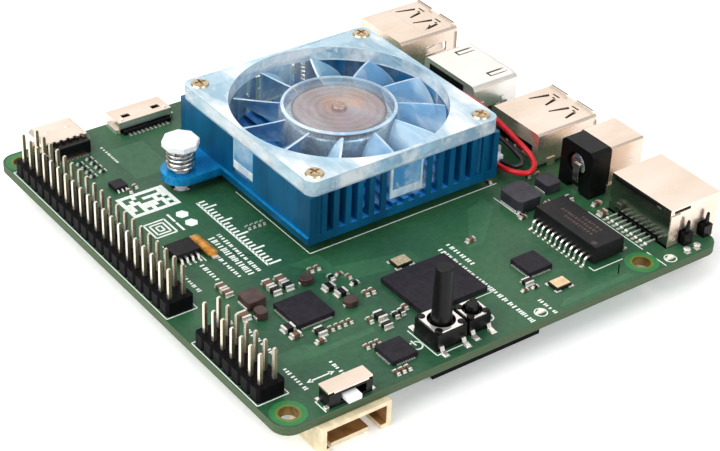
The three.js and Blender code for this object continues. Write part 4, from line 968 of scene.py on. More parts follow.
def make_chips():
    for name in ("flash_memory_chip", "power_manager_chip", "regulator_chip", "network_chip"):
        s = Span(name)
        chip = Shape()
        add_chip(chip, s.x0, s.x1, s.y0, s.y1, s.z1)
        if name != "flash_memory_chip":
            add_side_pads(chip, s.x0, s.x1, s.y0, s.y1)
        if name == "power_manager_chip":
            chip.box(s.x0 + 0.9, s.x0 + 3.0, s.y1 - 0.8, s.y1 - 0.62, s.z1 - 0.01, s.z1 + 0.004, 2)
        chip.done(f"{name}_package", [epoxy, solder, epoxy_dark], "chip_plastic", replaces=name,
                  bevel=0.07)
    s = Span("boot_memory_chip")
    chip = Shape()
    chip.box(s.x0, s.x1, s.y0, s.y1, 0.2, s.z1, 0)
    chip.lathe(s.x0 + 0.8, s.y1 - 0.7, [(0.3, s.z1 - 0.02), (0.3, s.z1 + 0.008)], 16, 2)
    for k in range(4):
        x = s.x + (k - 1.5) * 1.05
        for sign, edge in ((-1, s.y0), (1, s.y1)):
            chip.strip([(x, edge - sign * 0.2, 0.85), (x, edge + sign * 0.45, 0.85),
                        (x, edge + sign * 0.8, 0.16), (x, edge + sign * 1.6, 0.12)],
                       (0.21, 0, 0), 0.16, 1)
    chip.done("boot_memory_chip_package", [epoxy_dark, bright_tin, epoxy], "chip_plastic",
              replaces="boot_memory_chip", bevel=0.08)
    small = Shape()
    small.box(11.9, 14.4, 69.0, 71.5, 0.08, 0.85, 0)
    for k in range(3):
        for sign, edge in ((-1, 69.0), (1, 71.5)):
            x = 13.15 + (k - 1) * 0.8
            small.strip([(x, edge, 0.4), (x, edge + sign * 0.3, 0.35),
                         (x, edge + sign * 0.7, 0.06)], (0.16, 0, 0), 0.12, 1)
    for x, y in ((36.4, 80.6), (66.2, 81.0), (77.0, 66.4), (77.6, 47.4)):
        small.box(x - 1.3, x + 1.3, y - 1.3, y + 1.3, 0.06, 0.8, 0)
        add_side_pads(small, x - 1.3, x + 1.3, y - 1.3, y + 1.3, 0.5)
    small.done("small_chips", [epoxy, solder], "chip_plastic", bevel=0.06)


def make_crystals():
    cans = Shape()
    for x, y in ((58.5, 5.8), (40.5, 25.0)):
        cans.box(x - 1.6, x + 1.6, y - 1.25, y + 1.25, 0.02, 0.5, 1)
        cans.box(x - 1.42, x + 1.42, y - 1.07, y + 1.07, 0.5, 0.75, 0)
        for sx, sy in CORNERS:
            cans.box(x + sx * 1.35 - 0.55, x + sx * 1.35 + 0.55, y + sy * 1.15 - 0.4,
                     y + sy * 1.15 + 0.4, 0.0, 0.16, 2)
    cans.done("crystal_cans", [lid, epoxy_dark, solder], "gold_plating", bevel=0.08)
    can = Shape()
    sections = [(-3.2, 0.34), (-2.9, 0.52), (2.2, 0.52), (2.4, 0.46), (3.1, 0.40)]
    rings = []
    for y, r in sections:
        rings.append([can.bm.verts.new((
            15.7 + 1.9 * r * math.cos(math.tau * k / 20), 46.4 + y,
            0.55 + r * math.sin(math.tau * k / 20))) for k in range(20)])
    can._fill(rings, 0)
    for x in (15.35, 16.05):
        can.tube([(x, 49.3, 0.5), (x, 49.9, 0.45), (x, 50.3, 0.1)], 0.14, 8, 1)
    can.box(15.2, 16.2, 42.6, 43.4, 0.0, 0.35, 1)
    can.done("clock_crystal", [amber, solder], "gold_plating", bevel=0.05)
    lamps = Shape()
    for x, y in ((51.0, 1.75), (79.3, 1.4)):
        lamps.box(x - 0.45, x + 0.45, y - 0.35, y + 0.35, 0.02, 0.5, 0)
        for sign in (-1, 1):
            lamps.box(x + sign * 0.7 - 0.25, x + sign * 0.7 + 0.25, y - 0.35, y + 0.35, 0, 0.25, 1)
    for x in (83.0, 85.2):
        lamps.box(x - 0.5, x + 0.5, 0.6, 1.6, 0, 0.08, 1)
    lamps.done("status_lamps", [lamp_white, solder], "white_plastic", bevel=0.05)


def make_transformer():
    s = Span("network_transformer")
    x0, x1 = s.x0 + 1.7, s.x1 - 1.7
    body = Shape()
    outline = [(x0 + 0.25, 0.5), (x1 - 0.25, 0.5), (x1, 1.5), (x1 - 0.35, s.z1), (x0 + 0.35, s.z1),
               (x0, 1.5)]
    body.prism([(z, x) for x, z in outline][::-1], s.y0, s.y1, 0, "Y")
    body.lathe(x0 + 1.2, s.y0 + 1.3, [(0.5, s.z1 - 0.03), (0.5, s.z1 + 0.006)], 20, 1)
    for row, (x, length) in enumerate(((x0 + 2.6, 7.0), (x0 + 3.7, 8.4), (x0 + 4.8, 4.6))):
        dash = random.Random(row)
        y = s.y0 + 3.4
        while y < s.y0 + 3.4 + length:
            step = dash.uniform(0.5, 0.9)
            body.box(x - 0.3, x + 0.3, y, y + step * 0.6, s.z1 - 0.02, s.z1 + 0.004, 1)
            y += step
    body.done("network_transformer_body", [epoxy_dark, ferrite_brown], "chip_plastic",
              replaces="network_transformer", bevel=0.16)
    leads = Shape()
    for k in range(12):
        y = s.y + (k - 5.5) * 1.19
        for sign, edge in ((-1, x0), (1, x1)):
            leads.strip([(edge - sign * 0.3, y, 1.55), (edge + sign * 0.45, y, 1.55),
                         (edge + sign * 0.85, y, 1.2), (edge + sign * 1.0, y, 0.3),
                         (edge + sign * 1.2, y, 0.12), (edge + sign * 1.68, y, 0.1)],
                        (0, 0.2, 0), 0.16)
            foot = edge + sign * 1.3
            leads.box(foot - 0.45, foot + 0.36, y - 0.26, y + 0.26, 0.0, 0.08)
    leads.done("network_transformer_leads", bright_tin, "tin_shell", bevel=0.03, segments=1)


# ---------------------------------------------------------------- cooler


def make_heat_sink():
    half = 20.0
    floor = SINK.z0 + 1.6
    body = copy_of("heat_sink")
    for face in body.bm.faces:
        at = face.calc_center_median()
        # The lugs beyond the fan's square take the lighter copy: painted light.
        beyond = at.x < FAN_X - half - 0.05 or at.y > FAN_Y + half + 0.05
        # Upward faces under the fan take the brighter copy: painted light.
        inside = math.hypot(at.x - FAN_X, at.y - FAN_Y) < 15 and face.normal.z > 0.5
        face.material_index = 1 if beyond else 2 if inside else 0
    body.done("heat_sink_fins", [blue_anodised, blue_painted_highlight, blue_lit], "blue_aluminium",
              replaces="heat_sink", bevel=0.16, segments=3, angle=40)
    ledge = Shape()
    ledge.box(FAN_X - half - 0.3, FAN_X - half + 0.1, FAN_Y - half, FAN_Y + half, SINK.z0, floor)
    # A thin strip along the ledge's top edge carries a painted highlight.
    ledge.box(FAN_X - half - 0.42, FAN_X - half + 0.1, FAN_Y - half, FAN_Y + half, floor - 0.3,
              floor + 0.04, 1)
    ledge.done("heat_sink_ledge", [blue_anodised, blue_painted_highlight], "blue_aluminium", bevel=0.08)


def make_fan_frame():
    top = FAN.z1
    flange_low = SINK.z1
    throat = 19.3
    body = plate([rounded(FAN_X - 19.95, FAN_X + 19.95, FAN_Y - 19.95, FAN_Y + 19.95, 1.8, 10),
                  circle(FAN_X, FAN_Y, throat, 96),
                  *[circle(FAN_X + sx * SCREW_OFFSET, FAN_Y + sy * SCREW_OFFSET, 1.4, 28)
                    for sx, sy in CORNERS]], flange_low + 0.02, top)
    for face in body.bm.faces:
        face.material_index = 0 if abs(face.normal.z) > 0.5 else 1
    body.done("fan_flange", [clear_frame, clear_wall], "clear_blue_plastic", bevel=0.22, segments=3)
    # Thin whiter bands inside the flange at its top and bottom edges and round the throat: painted
    # edge highlights.
    painted_rims = Shape()
    out = 19.95
    for z, deep in ((top - 0.03, 0.14), (flange_low + 0.3, 0.2)):
        painted_rims.add(plate([rounded(FAN_X - out, FAN_X + out, FAN_Y - out, FAN_Y + out, 1.8, 10),
                        rounded(FAN_X - out + 0.3, FAN_X + out - 0.3, FAN_Y - out + 0.3,
                                FAN_Y + out - 0.3, 1.5, 10)], z - deep, z))
        painted_rims.ring(FAN_X, FAN_Y, [(throat - 0.01, z - deep), (throat + 0.3, z - deep),
                                 (throat + 0.3, z), (throat - 0.01, z)], 96)
    painted_rims.done("fan_flange_rims", clear_painted_edge, "clear_blue_plastic", bevel=0.05)
    # The border strips and low band of each rib take the whiter plastic, a painted edge highlight;
    # the upper panel takes the bluer clear plastic.
    legs = Shape()
    for sx, sy in ((-1, 0), (0, -1), (1, 0), (0, 1)):
        for side in (-1, 1):
            across, out_x = side * 3.4, 19.9
            in_x, inward = out_x - 0.5, across - side * 0.5
            x0, x1 = sorted((sx * out_x + sy * across, sx * in_x + sy * inward))
            y0, y1 = sorted((sy * out_x + sx * across, sy * in_x + sx * inward))
            legs.box(FAN_X + x0, FAN_X + x1, FAN_Y + y0, FAN_Y + y1, FAN.z0 + 0.4, flange_low)
        x0, x1 = sorted((sx * 19.9 - abs(sy) * 3.0, sx * 19.5 + abs(sy) * 3.0))
        y0, y1 = sorted((sy * 19.9 - abs(sx) * 3.0, sy * 19.5 + abs(sx) * 3.0))
        legs.box(FAN_X + x0, FAN_X + x1, FAN_Y + y0, FAN_Y + y1, FAN.z0 + 0.4, FAN.z0 + 2.0)
        legs.box(FAN_X + x0, FAN_X + x1, FAN_Y + y0, FAN_Y + y1, FAN.z0 + 2.02, flange_low, 1)
    legs.done("fan_duct_ribs", [clear_painted_edge, clear_panel], "clear_blue_plastic", bevel=0.08)
    duct = Shape()
    duct.ring(FAN_X, FAN_Y, [(19.32, FAN.z0), (19.98, FAN.z0), (19.98, flange_low - 0.02),
                             (19.32, flange_low - 0.02)], 96)
    duct.done("fan_duct", clear_duct, "clear_blue_plastic")
    seat = Shape()
    seat.lathe(FAN_X, FAN_Y, [(10.4, FAN.z0), (10.4, FAN.z0 + 0.8)], 64)
    for degrees in (30, 150, 270):
        spoke = Shape().box(9.8, 19.6, -1.0, 1.0, FAN.z0, FAN.z0 + 0.8)
        seat.add(spoke, Matrix.Translation((FAN_X, FAN_Y, 0)) @ Matrix.Rotation(
            math.radians(degrees), 4, "Z"))
    seat.done("fan_motor_seat", clear_duct, "clear_blue_plastic", replaces="fan_frame", bevel=0.08)


def make_rotor():
    s = Span("fan_rotor")
    low, top = s.z0, s.z1
    radius, wall = 10.6, 0.9
    hub = Shape()
    hub.ring(FAN_X, FAN_Y, [
        (radius - wall, low), (radius - 0.05, low), (radius, low + 0.1), (radius, top - 0.9),
        (radius - 0.3, top - 0.3), (radius - 1.0, top), (0.9, top - 0.05), (0.9, top - wall),
        (radius - wall - 0.3, top - wall), (radius - wall, top - wall - 0.3)], 96)
    hub.done("fan_hub_cup", clear_hub, "clear_blue_plastic", body="fan_rotor")
    yoke = Shape()
    yoke_top = top - wall - 0.04
    yoke.ring(FAN_X, FAN_Y, [
        (8.7, low + 0.2), (9.55, low + 0.2), (9.55, yoke_top - 1.5), (9.3, yoke_top - 1.1),
        (8.25, yoke_top - 0.9), (8.15, yoke_top - 0.1), (8.0, yoke_top), (1.2, yoke_top),
        (1.2, yoke_top - 0.4), (7.6, yoke_top - 0.5), (7.8, yoke_top - 1.3),
        (8.7, yoke_top - 1.5)], 96)
    center = TO_ROW @ Vector((FAN_X, FAN_Y, 0))
    center.z = 0.0
    for face in yoke.bm.faces:
        face.material_index = 1 if face.calc_center_median().z < yoke_top - 0.8 else 0
    yoke.done("fan_yoke", [make_yoke_material(center), yoke_skirt], "magnet", body="fan_rotor",
              replaces="fan_magnet")
    band = Shape()
    band.ring(FAN_X, FAN_Y, [(8.16, yoke_top - 0.30), (8.42, yoke_top - 0.30),
                             (8.42, yoke_top - 0.04), (8.16, yoke_top - 0.04)], 96)
    band.done("fan_yoke_band", epoxy_dark, "magnet", body="fan_rotor")
    # A whiter band inside the cup's top edge: a painted rim highlight.
    lip = Shape()
    lip.ring(FAN_X, FAN_Y, [(radius - 0.9, top - 0.34), (radius - 0.35, top - 0.34),
                            (radius - 0.35, top - 0.2), (radius - 0.9, top - 0.03)], 96)
    lip.done("fan_hub_lip", blade_painted_edge, "clear_blue_plastic", body="fan_rotor")
    boss = Shape()
    boss.lathe(FAN_X, FAN_Y, [(0.75, low + 0.3), (0.75, yoke_top - 0.5), (1.3, yoke_top - 0.4),
                              (1.3, top - 0.45), (1.12, top - 0.2), (0.6, top - 0.05),
                              (0.05, top)], 32)
    boss.done("fan_shaft_cap", cap_brown, "spring_steel", body="fan_rotor")
    blades = Shape()
    root, tip = radius - 0.3, 18.85
    steps, rows = 8, 7
    for b in range(BLADE_COUNT):
        turn = 0.05 + math.tau * b / BLADE_COUNT
        loops = []
        for i in range(steps + 1):
            share = i / steps
            r = root + (tip - root) * share
            half_sweep = 0.10 + 0.055 * share
            front, back = [], []
            for k in range(rows + 1):
                across = k / rows * 2 - 1
                corner = max(0.0, share - 0.75) * max(0.0, abs(across) - 0.7)
                z = (low + top) / 2 + across * (2.75 - 0.45 * share) * (1 - 0.4 * corner)
                angle = turn - 0.12 * share + half_sweep * across - 0.07 * (1 - across * across)
                for loop, half in ((front, 0.22), (back, -0.22)):
                    at = angle + half / r
                    loop.append(blades.bm.verts.new((
                        FAN_X + r * math.cos(at), FAN_Y + r * math.sin(at), z)))
            loops.append(front + back[::-1])
        blades._fill(loops, 0)
    # Narrow edge faces and the end faces of each blade take the whiter plastic: a painted edge
    # highlight.
    for face in blades.bm.faces:
        narrow = min(edge.calc_length() for edge in face.edges) < 0.6 and len(face.edges) == 4
        face.material_index = 1 if narrow or len(face.edges) > 4 else 0
    blades.done("fan_blades", [blade_milk, blade_painted_edge], "blade_plastic", body="fan_rotor",
                replaces="fan_rotor", bevel=0.06, angle=50)


def make_motor():
    coils = Shape()
    s = Span("fan_stator")
    for degrees in (0, 90, 180, 270):
        block = Shape().box(3.7, 6.6, -1.5, 1.5, s.z0 + 0.1, s.z1 - 0.1, 0)
        block.box(3.2, 7.7, -0.9, 0.9, s.z0 + 0.6, s.z1 - 0.6, 1)
        coils.add(block, Matrix.Translation((FAN_X, FAN_Y, 0)) @ Matrix.Rotation(
            math.radians(degrees), 4, "Z"))
    coils.done("fan_coils", [copper, steel], "winding", replaces="fan_stator", bevel=0.3,
               segments=3)


def make_screws():
    for name in ("front_left", "front_right", "back_left", "back_right"):
        s = Span(f"fan_screw_{name}")
        head_low = FAN.z1 - 0.25
        screw = Shape()
        screw.lathe(s.x, s.y, [(1.15, s.z0 + 0.4), (1.15, head_low), (1.58, head_low + 0.05),
                               (1.65, head_low + 0.25), (1.45, s.z1 - 0.22), (0.95, s.z1 - 0.05),
                               (0.4, s.z1)], 40)
        turn = math.radians(20 + 17 * len(name))
        slots = []
        for extra in (0, 90):
            slot = Shape().box(-1.0, 1.0, -0.22, 0.22, s.z1 - 0.5, s.z1 + 1)
            slot.bm.transform(Matrix.Translation((s.x, s.y, 0)) @ Matrix.Rotation(
                turn + math.radians(extra), 4, "Z"))
            slots.append(slot)
        screw.carve(*slots)
        screw.done(f"fan_screw_{name}_head", gold, "gold_plating", replaces=f"fan_screw_{name}",
                   bevel=0.04)


def make_push_pins():
    for name, pin in PINS.items():
        s = Span(f"push_pin_spring_{name}")
        body = Shape()
        cap_low = pin.z1 - 1.6
        body.lathe(pin.x, pin.y, [(3.1, cap_low), (3.35, cap_low + 0.3), (3.35, pin.z1 - 0.35),
                                  (3.1, pin.z1 - 0.08), (2.9, pin.z1)], 8, turn=math.radians(22.5))
        body.lathe(pin.x, pin.y, [(1.15, pin.z0), (1.75, pin.z0 + 1.1), (1.75, pin.z0 + 1.3),
                                  (1.1, pin.z0 + 1.35), (1.1, 2.2), (1.35, 2.4),
                                  (1.35, cap_low + 0.1)], 24)
        body.done(f"push_pin_{name}_body", white_nylon, "white_plastic",
                  replaces=f"push_pin_{name}", bevel=0.08)
        turns, steps = 4.6, 130
        low, high = s.z0 + 0.36, s.z1 - 0.36
        route = [(pin.x + 2.25 * math.cos(math.tau * turns * k / steps),
                  pin.y + 2.25 * math.sin(math.tau * turns * k / steps),
                  low + (high - low) * k / steps) for k in range(steps + 1)]
        coil = Shape().tube(route, 0.33, 10)
        coil.done(f"push_pin_{name}_coil", steel, "spring_steel",
                  replaces=f"push_pin_spring_{name}")


# ---------------------------------------------------------------- the fan's leads

RED_ROUTE = [
    (69.2, 53.6, 9.9), (70.6, 52.6, 10.2), (72.4, 50.0, 10.3), (74.0, 46.4, 9.2), (75.2, 42.6, 7.4),
    (76.4, 38.8, 5.2), (77.2, 35.6, 3.4), (76.6, 33.6, 2.3), (74.8, 32.9, 1.8), (73.0, 34.2, 1.8),
    (72.0, 36.4, 1.85), (71.8, 38.45, 1.85)]
BLACK_ROUTE = [
    (69.2, 52.0, 9.3), (70.4, 50.8, 9.0), (71.8, 48.0, 8.6), (73.0, 44.8, 7.3), (74.0, 41.2, 5.6),
    (74.9, 38.0, 4.2), (75.3, 35.9, 3.2), (74.9, 35.0, 2.6), (74.1, 35.3, 2.1), (73.4, 36.6, 1.9),
    (73.1, 38.45, 1.85)]


def make_leads():
    for name, route, skin in (("red", RED_ROUTE, red_skin), ("black", BLACK_ROUTE, black_skin)):
        lead = Shape().tube(smooth_route(route, 7), 0.5, 14)
        lead.done(f"fan_lead_{name}", skin, f"{name}_wire", replaces=f"fan_wire_{name}")
    for end in ("plug", "socket"):
        refinish(f"fan_{end}", f"fan_{end}_body", white_nylon, "beige_plastic", bevel=0.08)
    s = Span("fan_socket")
    tails = Shape()
    for x in (s.x0 + 1.6, s.x0 + 2.8):
        tails.box(x - 0.25, x + 0.25, s.y1 - 0.1, s.y1 + 1.1, 0.0, 0.22)
    for x in (s.x0 - 0.25, s.x1 - 0.35):
        tails.box(x, x + 0.6, s.y0 + 0.8, s.y0 + 2.6, 0.0, 0.35)
    tails.done("fan_socket_tails", bright_tin, "tin_shell", bevel=0.04)


# ---------------------------------------------------------------- sockets on the right edge


def make_usb_ports():
    for name in ("back", "middle"):
        s = Span(f"usb_port_{name}_shell")
        width = s.y1 - s.y0
        shell = copy_of(f"usb_port_{name}_shell")
        x0, x1 = s.x1 - 7.6, s.x1 - 2.0
        shell.carve(Shape().box(x0, x1, s.y0 + 1.2, s.y1 - 1.2, s.z1 - 0.6, s.z1 + 1))
        slots = []
        for share in (0.29, 0.71):
            y = s.y0 + width * share
            slots.append([(x0 + 0.9, y + 1.65), (x1 - 0.9, y + 0.45), (x1 - 0.5, y + 1.15),
                          (x0 + 0.9, y + 2.05)])
            slots.append([(x0 + 1.9, y - 1.85), (x1 - 0.7, y - 1.3), (x1 - 1.0, y - 0.65),
                          (x0 + 1.9, y - 1.4)])
            slots.append([(x1 - 0.9, y - 0.75), (x1 - 0.5, y - 0.85), (x1 - 0.5, y - 0.1),
                          (x1 - 0.9, y - 0.1)])
        shell.add(plate([[(x0, s.y0 + 1.2), (x1, s.y0 + 1.2), (x1, s.y1 - 1.2), (x0, s.y1 - 1.2)],
                         *slots], s.z1 - 0.3, s.z1))
        shell.done(f"usb_port_{name}_can", tin, "tin_shell", replaces=f"usb_port_{name}_shell",
                   bevel=0.08)
        # A dark sheet under the slotted top: painted shade seen through the slots.
        shade = Shape().box(x0, x1 + 0.6, s.y0 + 1.2, s.y1 - 1.2, s.z1 - 1.1, s.z1 - 0.8)
        shade.done(f"usb_port_{name}_liner", epoxy_dark, "black_plastic")
        trim = Shape()
        for y in (s.y - 3.5, s.y + 3.5):
            trim.strip([(s.x1 - 1.3, y, s.z1 - 0.1), (s.x1 - 0.7, y, s.z1 + 0.05),
                        (s.x1 - 0.2, y, s.z1 + 0.45)], (0, 2.2, 0), 0.2)
            trim.box(s.x1 - 0.34, s.x1 - 0.12, y - 2.2, y + 2.2, s.z1 + 0.36, s.z1 + 0.52, 1)
        for side, wall in ((-1, s.y0), (1, s.y1)):
            inner = wall - side * 0.2
            trim.strip([(s.x1 - 7.6, inner, 3.4), (s.x1 - 6.6, inner, 3.4),
                        (s.x1 - 4.4, inner - side * 0.6, 3.4),
                        (s.x1 - 3.0, inner - side * 0.3, 3.4)], (0, 0, 0.55), 0.22)
        # lips that flare out at the sides of the mouth
        for side, wall in ((-1, s.y0), (1, s.y1)):
            trim.strip([(s.x1 - 1.0, wall - side * 0.14, 3.7), (s.x1 - 0.6, wall - side * 0.1, 3.7),
                        (s.x1 - 0.12, wall + side * 0.2, 3.7)], (0, 0, 2.3), 0.24)
            skin = sorted((wall - side * 0.02, wall + side * 0.2))
            for x in (s.x0 + 3.4, s.x1 - 5.0):
                trim.box(x - 0.9, x + 0.9, *skin, 0.02, 1.5)
                trim.box(x - 0.45, x + 0.45, *skin, UNDER - 1.1, 0.05)
        trim.done(f"usb_port_{name}_springs", [tin, tin_shade], "tin_shell", bevel=0.05)
        refinish(f"usb_port_{name}_insert", f"usb_port_{name}_tongue", jack_black,
                 "black_plastic", bevel=0.10)
        fingers = Shape()
        for k in range(4):
            y = s.y + (k - 1.5) * 2.3
            fingers.box(s.x1 - 8.0, s.x1 - 1.6, y - 0.5, y + 0.5, 3.93, 4.03)
            fingers.box(s.x0 + 1.6, s.x0 + 2.2, y - 0.25, y + 0.25, UNDER - 1.0, 0.9)
        for k in range(5):
            y = s.y + (k - 2) * 1.9
            fingers.strip([(s.x1 - 2.4, y, 3.96), (s.x1 - 3.4, y, 3.55), (s.x1 - 4.6, y, 3.96)],
                          (0, 0.3, 0), 0.12)
        fingers.done(f"usb_port_{name}_contacts", pin_gold, "gold_plating", bevel=0.02, segments=1)


def make_video_port():
    s = Span("video_port_shell")
    springs = [s.y0 + (s.y1 - s.y0) * share for share in (0.18, 0.82)]
    shell = Shape().prism(rounded(s.y0, s.y1, s.z0, s.z1, 1.0, 6), s.x0, s.x1, 0, "X")
    shell.carve(Shape().prism(rounded(s.y0 + 0.3, s.y1 - 0.3, s.z0 + 0.3, s.z1 - 0.3, 0.7, 6),
                              s.x0 + 0.3, s.x1 + 1, 0, "X"),
                Shape().box(s.x0 - 1, s.x0 + 1, s.y0 + 3.2, s.y1 - 1.6, 3.4, s.z1 - 0.9),
                *[Shape().box(s.x1 - 5.0, s.x1 - 0.8, y - 0.8, y + 0.8, s.z1 - 1, s.z1 + 1)
                  for y in springs])
    shell.done("video_port_can", bright_tin, "tin_shell", replaces="video_port_shell", bevel=0.05)
    # A dark sheet under the spring cut-outs: painted shade seen through them.
    painted_shade_sheet = Shape().box(s.x1 - 5.4, s.x1 - 0.6, s.y0 + 1.0, s.y1 - 1.0, s.z1 - 0.9, s.z1 - 0.62)
    painted_shade_sheet.done("video_port_liner", epoxy_dark, "black_plastic")
    trim = Shape()
    for y in springs:
        trim.box(s.x1 - 4.55, s.x1 - 0.7, y - 0.42, y + 0.42, s.z1 - 0.36, s.z1 - 0.06)
    for side, wall in ((-1, s.y0), (1, s.y1)):
        for x in (s.x0 + 2.2, s.x1 - 3.4):
            trim.box(x - 0.8, x + 0.8, *sorted((wall - side * 0.9, wall + side * 0.15)), 0.0, 0.3)
            trim.box(x - 0.4, x + 0.4, *sorted((wall - side * 0.1, wall + side * 0.2)),
                     UNDER - 1.0, 2.4)
    trim.strip([(s.x1 - 0.9, s.y, s.z1 - 0.14), (s.x1 - 0.5, s.y, s.z1 - 0.08),
                (s.x1 - 0.12, s.y, s.z1 + 0.16)], (0, (s.y1 - s.y0) / 2 - 0.8, 0), 0.22)
    trim.done("video_port_springs", bright_tin, "tin_shell", bevel=0.05)
    refinish("video_port_insert", "video_port_tongue", jack_black, "black_plastic", bevel=0.06)
    rear = Shape()
    rear.box(s.x0 - 0.05, s.x0 + 0.6, s.y0 + 3.2, s.y1 - 1.6, 3.4, s.z1 - 0.9, 0)
    rear.box(s.x0 - 0.55, s.x0 + 0.3, s.y0 + 1.4, s.y1 - 1.4, 0.05, 0.9, 0)
    rear.done("video_port_rear", jack_black, "black_plastic", bevel=0.08)
    fingers = Shape()
    for k in range(19):
        y = s.y + (k - 9) * 0.5
        fingers.box(s.x0 - 1.2, s.x0 - 0.4, y - 0.13, y + 0.13, 0.0, 0.16)
        if k % 2 == 0:
            fingers.box(s.x1 - 6.0, s.x1 - 1.3, y - 0.16, y + 0.16, 3.58, 3.66)
            fingers.box(s.x1 - 6.0, s.x1 - 1.3, y - 0.16, y + 0.16, 2.54, 2.62)
    fingers.done("video_port_contacts", pin_gold, "gold_plating")


def make_power_jack():
    s = Span("power_jack_body")
    shield = Span("power_jack_shield")
    refinish("power_jack_body", "power_jack_block", jack_black, "black_plastic", bevel=0.16,
             segments=3)
    refinish("power_jack_shield", "power_jack_shield_can", tin, "tin_shell", bevel=0.12)
    axis_y, axis_z = s.y, 4.9
    pin = Shape().lathe_x(axis_y, axis_z, [
        (80.1, 0.9), (80.3, 1.0), (89.2, 1.0), (89.7, 0.8), (89.95, 0.4)], 24)
    pin.done("power_jack_center_pin", bright_tin, "tin_shell", replaces="power_jack_pin",
             bevel=0.02)
    metal = Shape()
    # rear contact that fills the round pocket, and the leg below it
    metal.lathe_x(axis_y, axis_z + 0.4, [(s.x0 + 1.1, 2.1), (s.x0 + 0.55, 2.0),
                                         (s.x0 + 0.25, 1.5), (s.x0 + 0.2, 0.5)], 28)
    metal.strip([(s.x0 + 0.05, axis_y - 0.3, 5.6), (s.x0 - 0.15, axis_y - 0.3, 3.0),
                 (s.x0 + 0.3, axis_y - 0.3, 1.4), (s.x0 + 0.2, axis_y - 0.3, 0.0)],
                (0, 0.75, 0), 0.28)
    metal.box(s.x0 + 0.2, s.x0 + 1.1, s.y0 + 0.2, s.y0 + 2.2, 0.02, 0.6, 1)
    metal.box(shield.x0 - 0.6, shield.x0 + 1.2, s.y0 - 0.35, s.y0 + 0.02, 0.0, 1.9)
    metal.box(shield.x0 + 2.6, shield.x0 + 5.2, s.y0 - 0.35, s.y0 + 0.02, 0.0, 1.2)
    for x, y in ((81.2, axis_y), (85.4, axis_y), (83.2, s.y1 - 0.6)):
        metal.box(x - 0.3, x + 0.3, y - 1.1, y + 1.1, UNDER - 0.9, 0.4)
    metal.done("power_jack_contacts", [steel, white_nylon], "tin_shell", bevel=0.08)


def make_network_jack():
    s = JACK
    shell = copy_of("network_jack_shell")
    for face in shell.bm.faces:
        face.material_index = 1 if face.normal.x < -0.9 else 0
    shell.done("network_jack_can", [tin, tin_shade], "tin_shell", replaces="network_jack_shell",
               bevel=0.12)
    housing = copy_of("network_jack_housing")
    housing.carve(Shape().box(s.x0 - 3, s.x0 - 0.02, s.y0 - 1, s.y1 + 1, -0.5, s.z1 + 1))
    housing.box(s.x0 - 0.1, s.x0 + 0.1, s.y0 + 3.6, s.y1 - 0.8, s.z1 - 1.05, s.z1 - 0.28)
    housing.done("network_jack_block", jack_black, "black_plastic",
                 replaces="network_jack_housing", bevel=0.06)
    trim = Shape()
    # tab folded round the front rear corner, with two pressed holes
    tab = Shape().box(s.x0 + 0.02, s.x0 + 2.3, s.y0 - 0.22, s.y0 + 0.02, 0.1, s.z1 - 1.25)
    tab.carve(*[Shape().box(s.x0 + 1.0, s.x0 + 1.7, s.y0 - 1, s.y0 + 1, z, z + 0.45)
                for z in (1.2, 2.4)])
    trim.add(tab)
    trim.done("network_jack_trim", tin, "tin_shell", bevel=0.06)
    wires = Shape()
    for k in range(8):
        y = s.y + (k - 3.5) * 1.02
        wires.strip([(s.x0 + 3.2, y, 3.3), (s.x0 + 5.2, y, 3.2), (s.x1 - 3.0, y, -0.4),
                     (s.x1 - 3.6, y, -0.9)], (0, 0.2, 0), 0.16)
    wires.done("network_jack_contacts", pin_gold, "gold_plating")
    posts = Shape()
    for a in (s.x0 + 2.7, s.x0 + 7.3):
        posts.prism([(2.0, a + 0.5), (4.3, a + 1.1), (4.5, a + 1.35), (2.0, a + 1.5)],
                    s.y0 - 0.95, s.y0 - 0.45, 0, "Y")
    posts.done("network_jack_pegs", jack_black, "black_plastic", bevel=0.05)
    blobs = Shape()
    for k in range(9):
        y = 6.9 + 1.17 * k
        blobs.lathe(78.7, y, [(0.42, -0.02), (0.38, 0.14), (0.26, 0.30), (0.12, 0.38)], 14)
        blobs.box(77.6, 78.2, y - 0.28, y + 0.28, 0.0, 0.06)
        blobs.box(78.7, s.x0 + 0.1, y - 0.13, y + 0.13, 0.02, 0.24)
    for x, y in ((80.9, 21.0), (83.7, 1.9), (86.0, 1.9)):
        blobs.lathe(x, y, [(0.7, -0.02), (0.62, 0.12), (0.40, 0.24), (0.14, 0.28)], 18)
    blobs.done("network_jack_solder", solder, "gold_plating")


# ---------------------------------------------------------------- sockets on the back edge


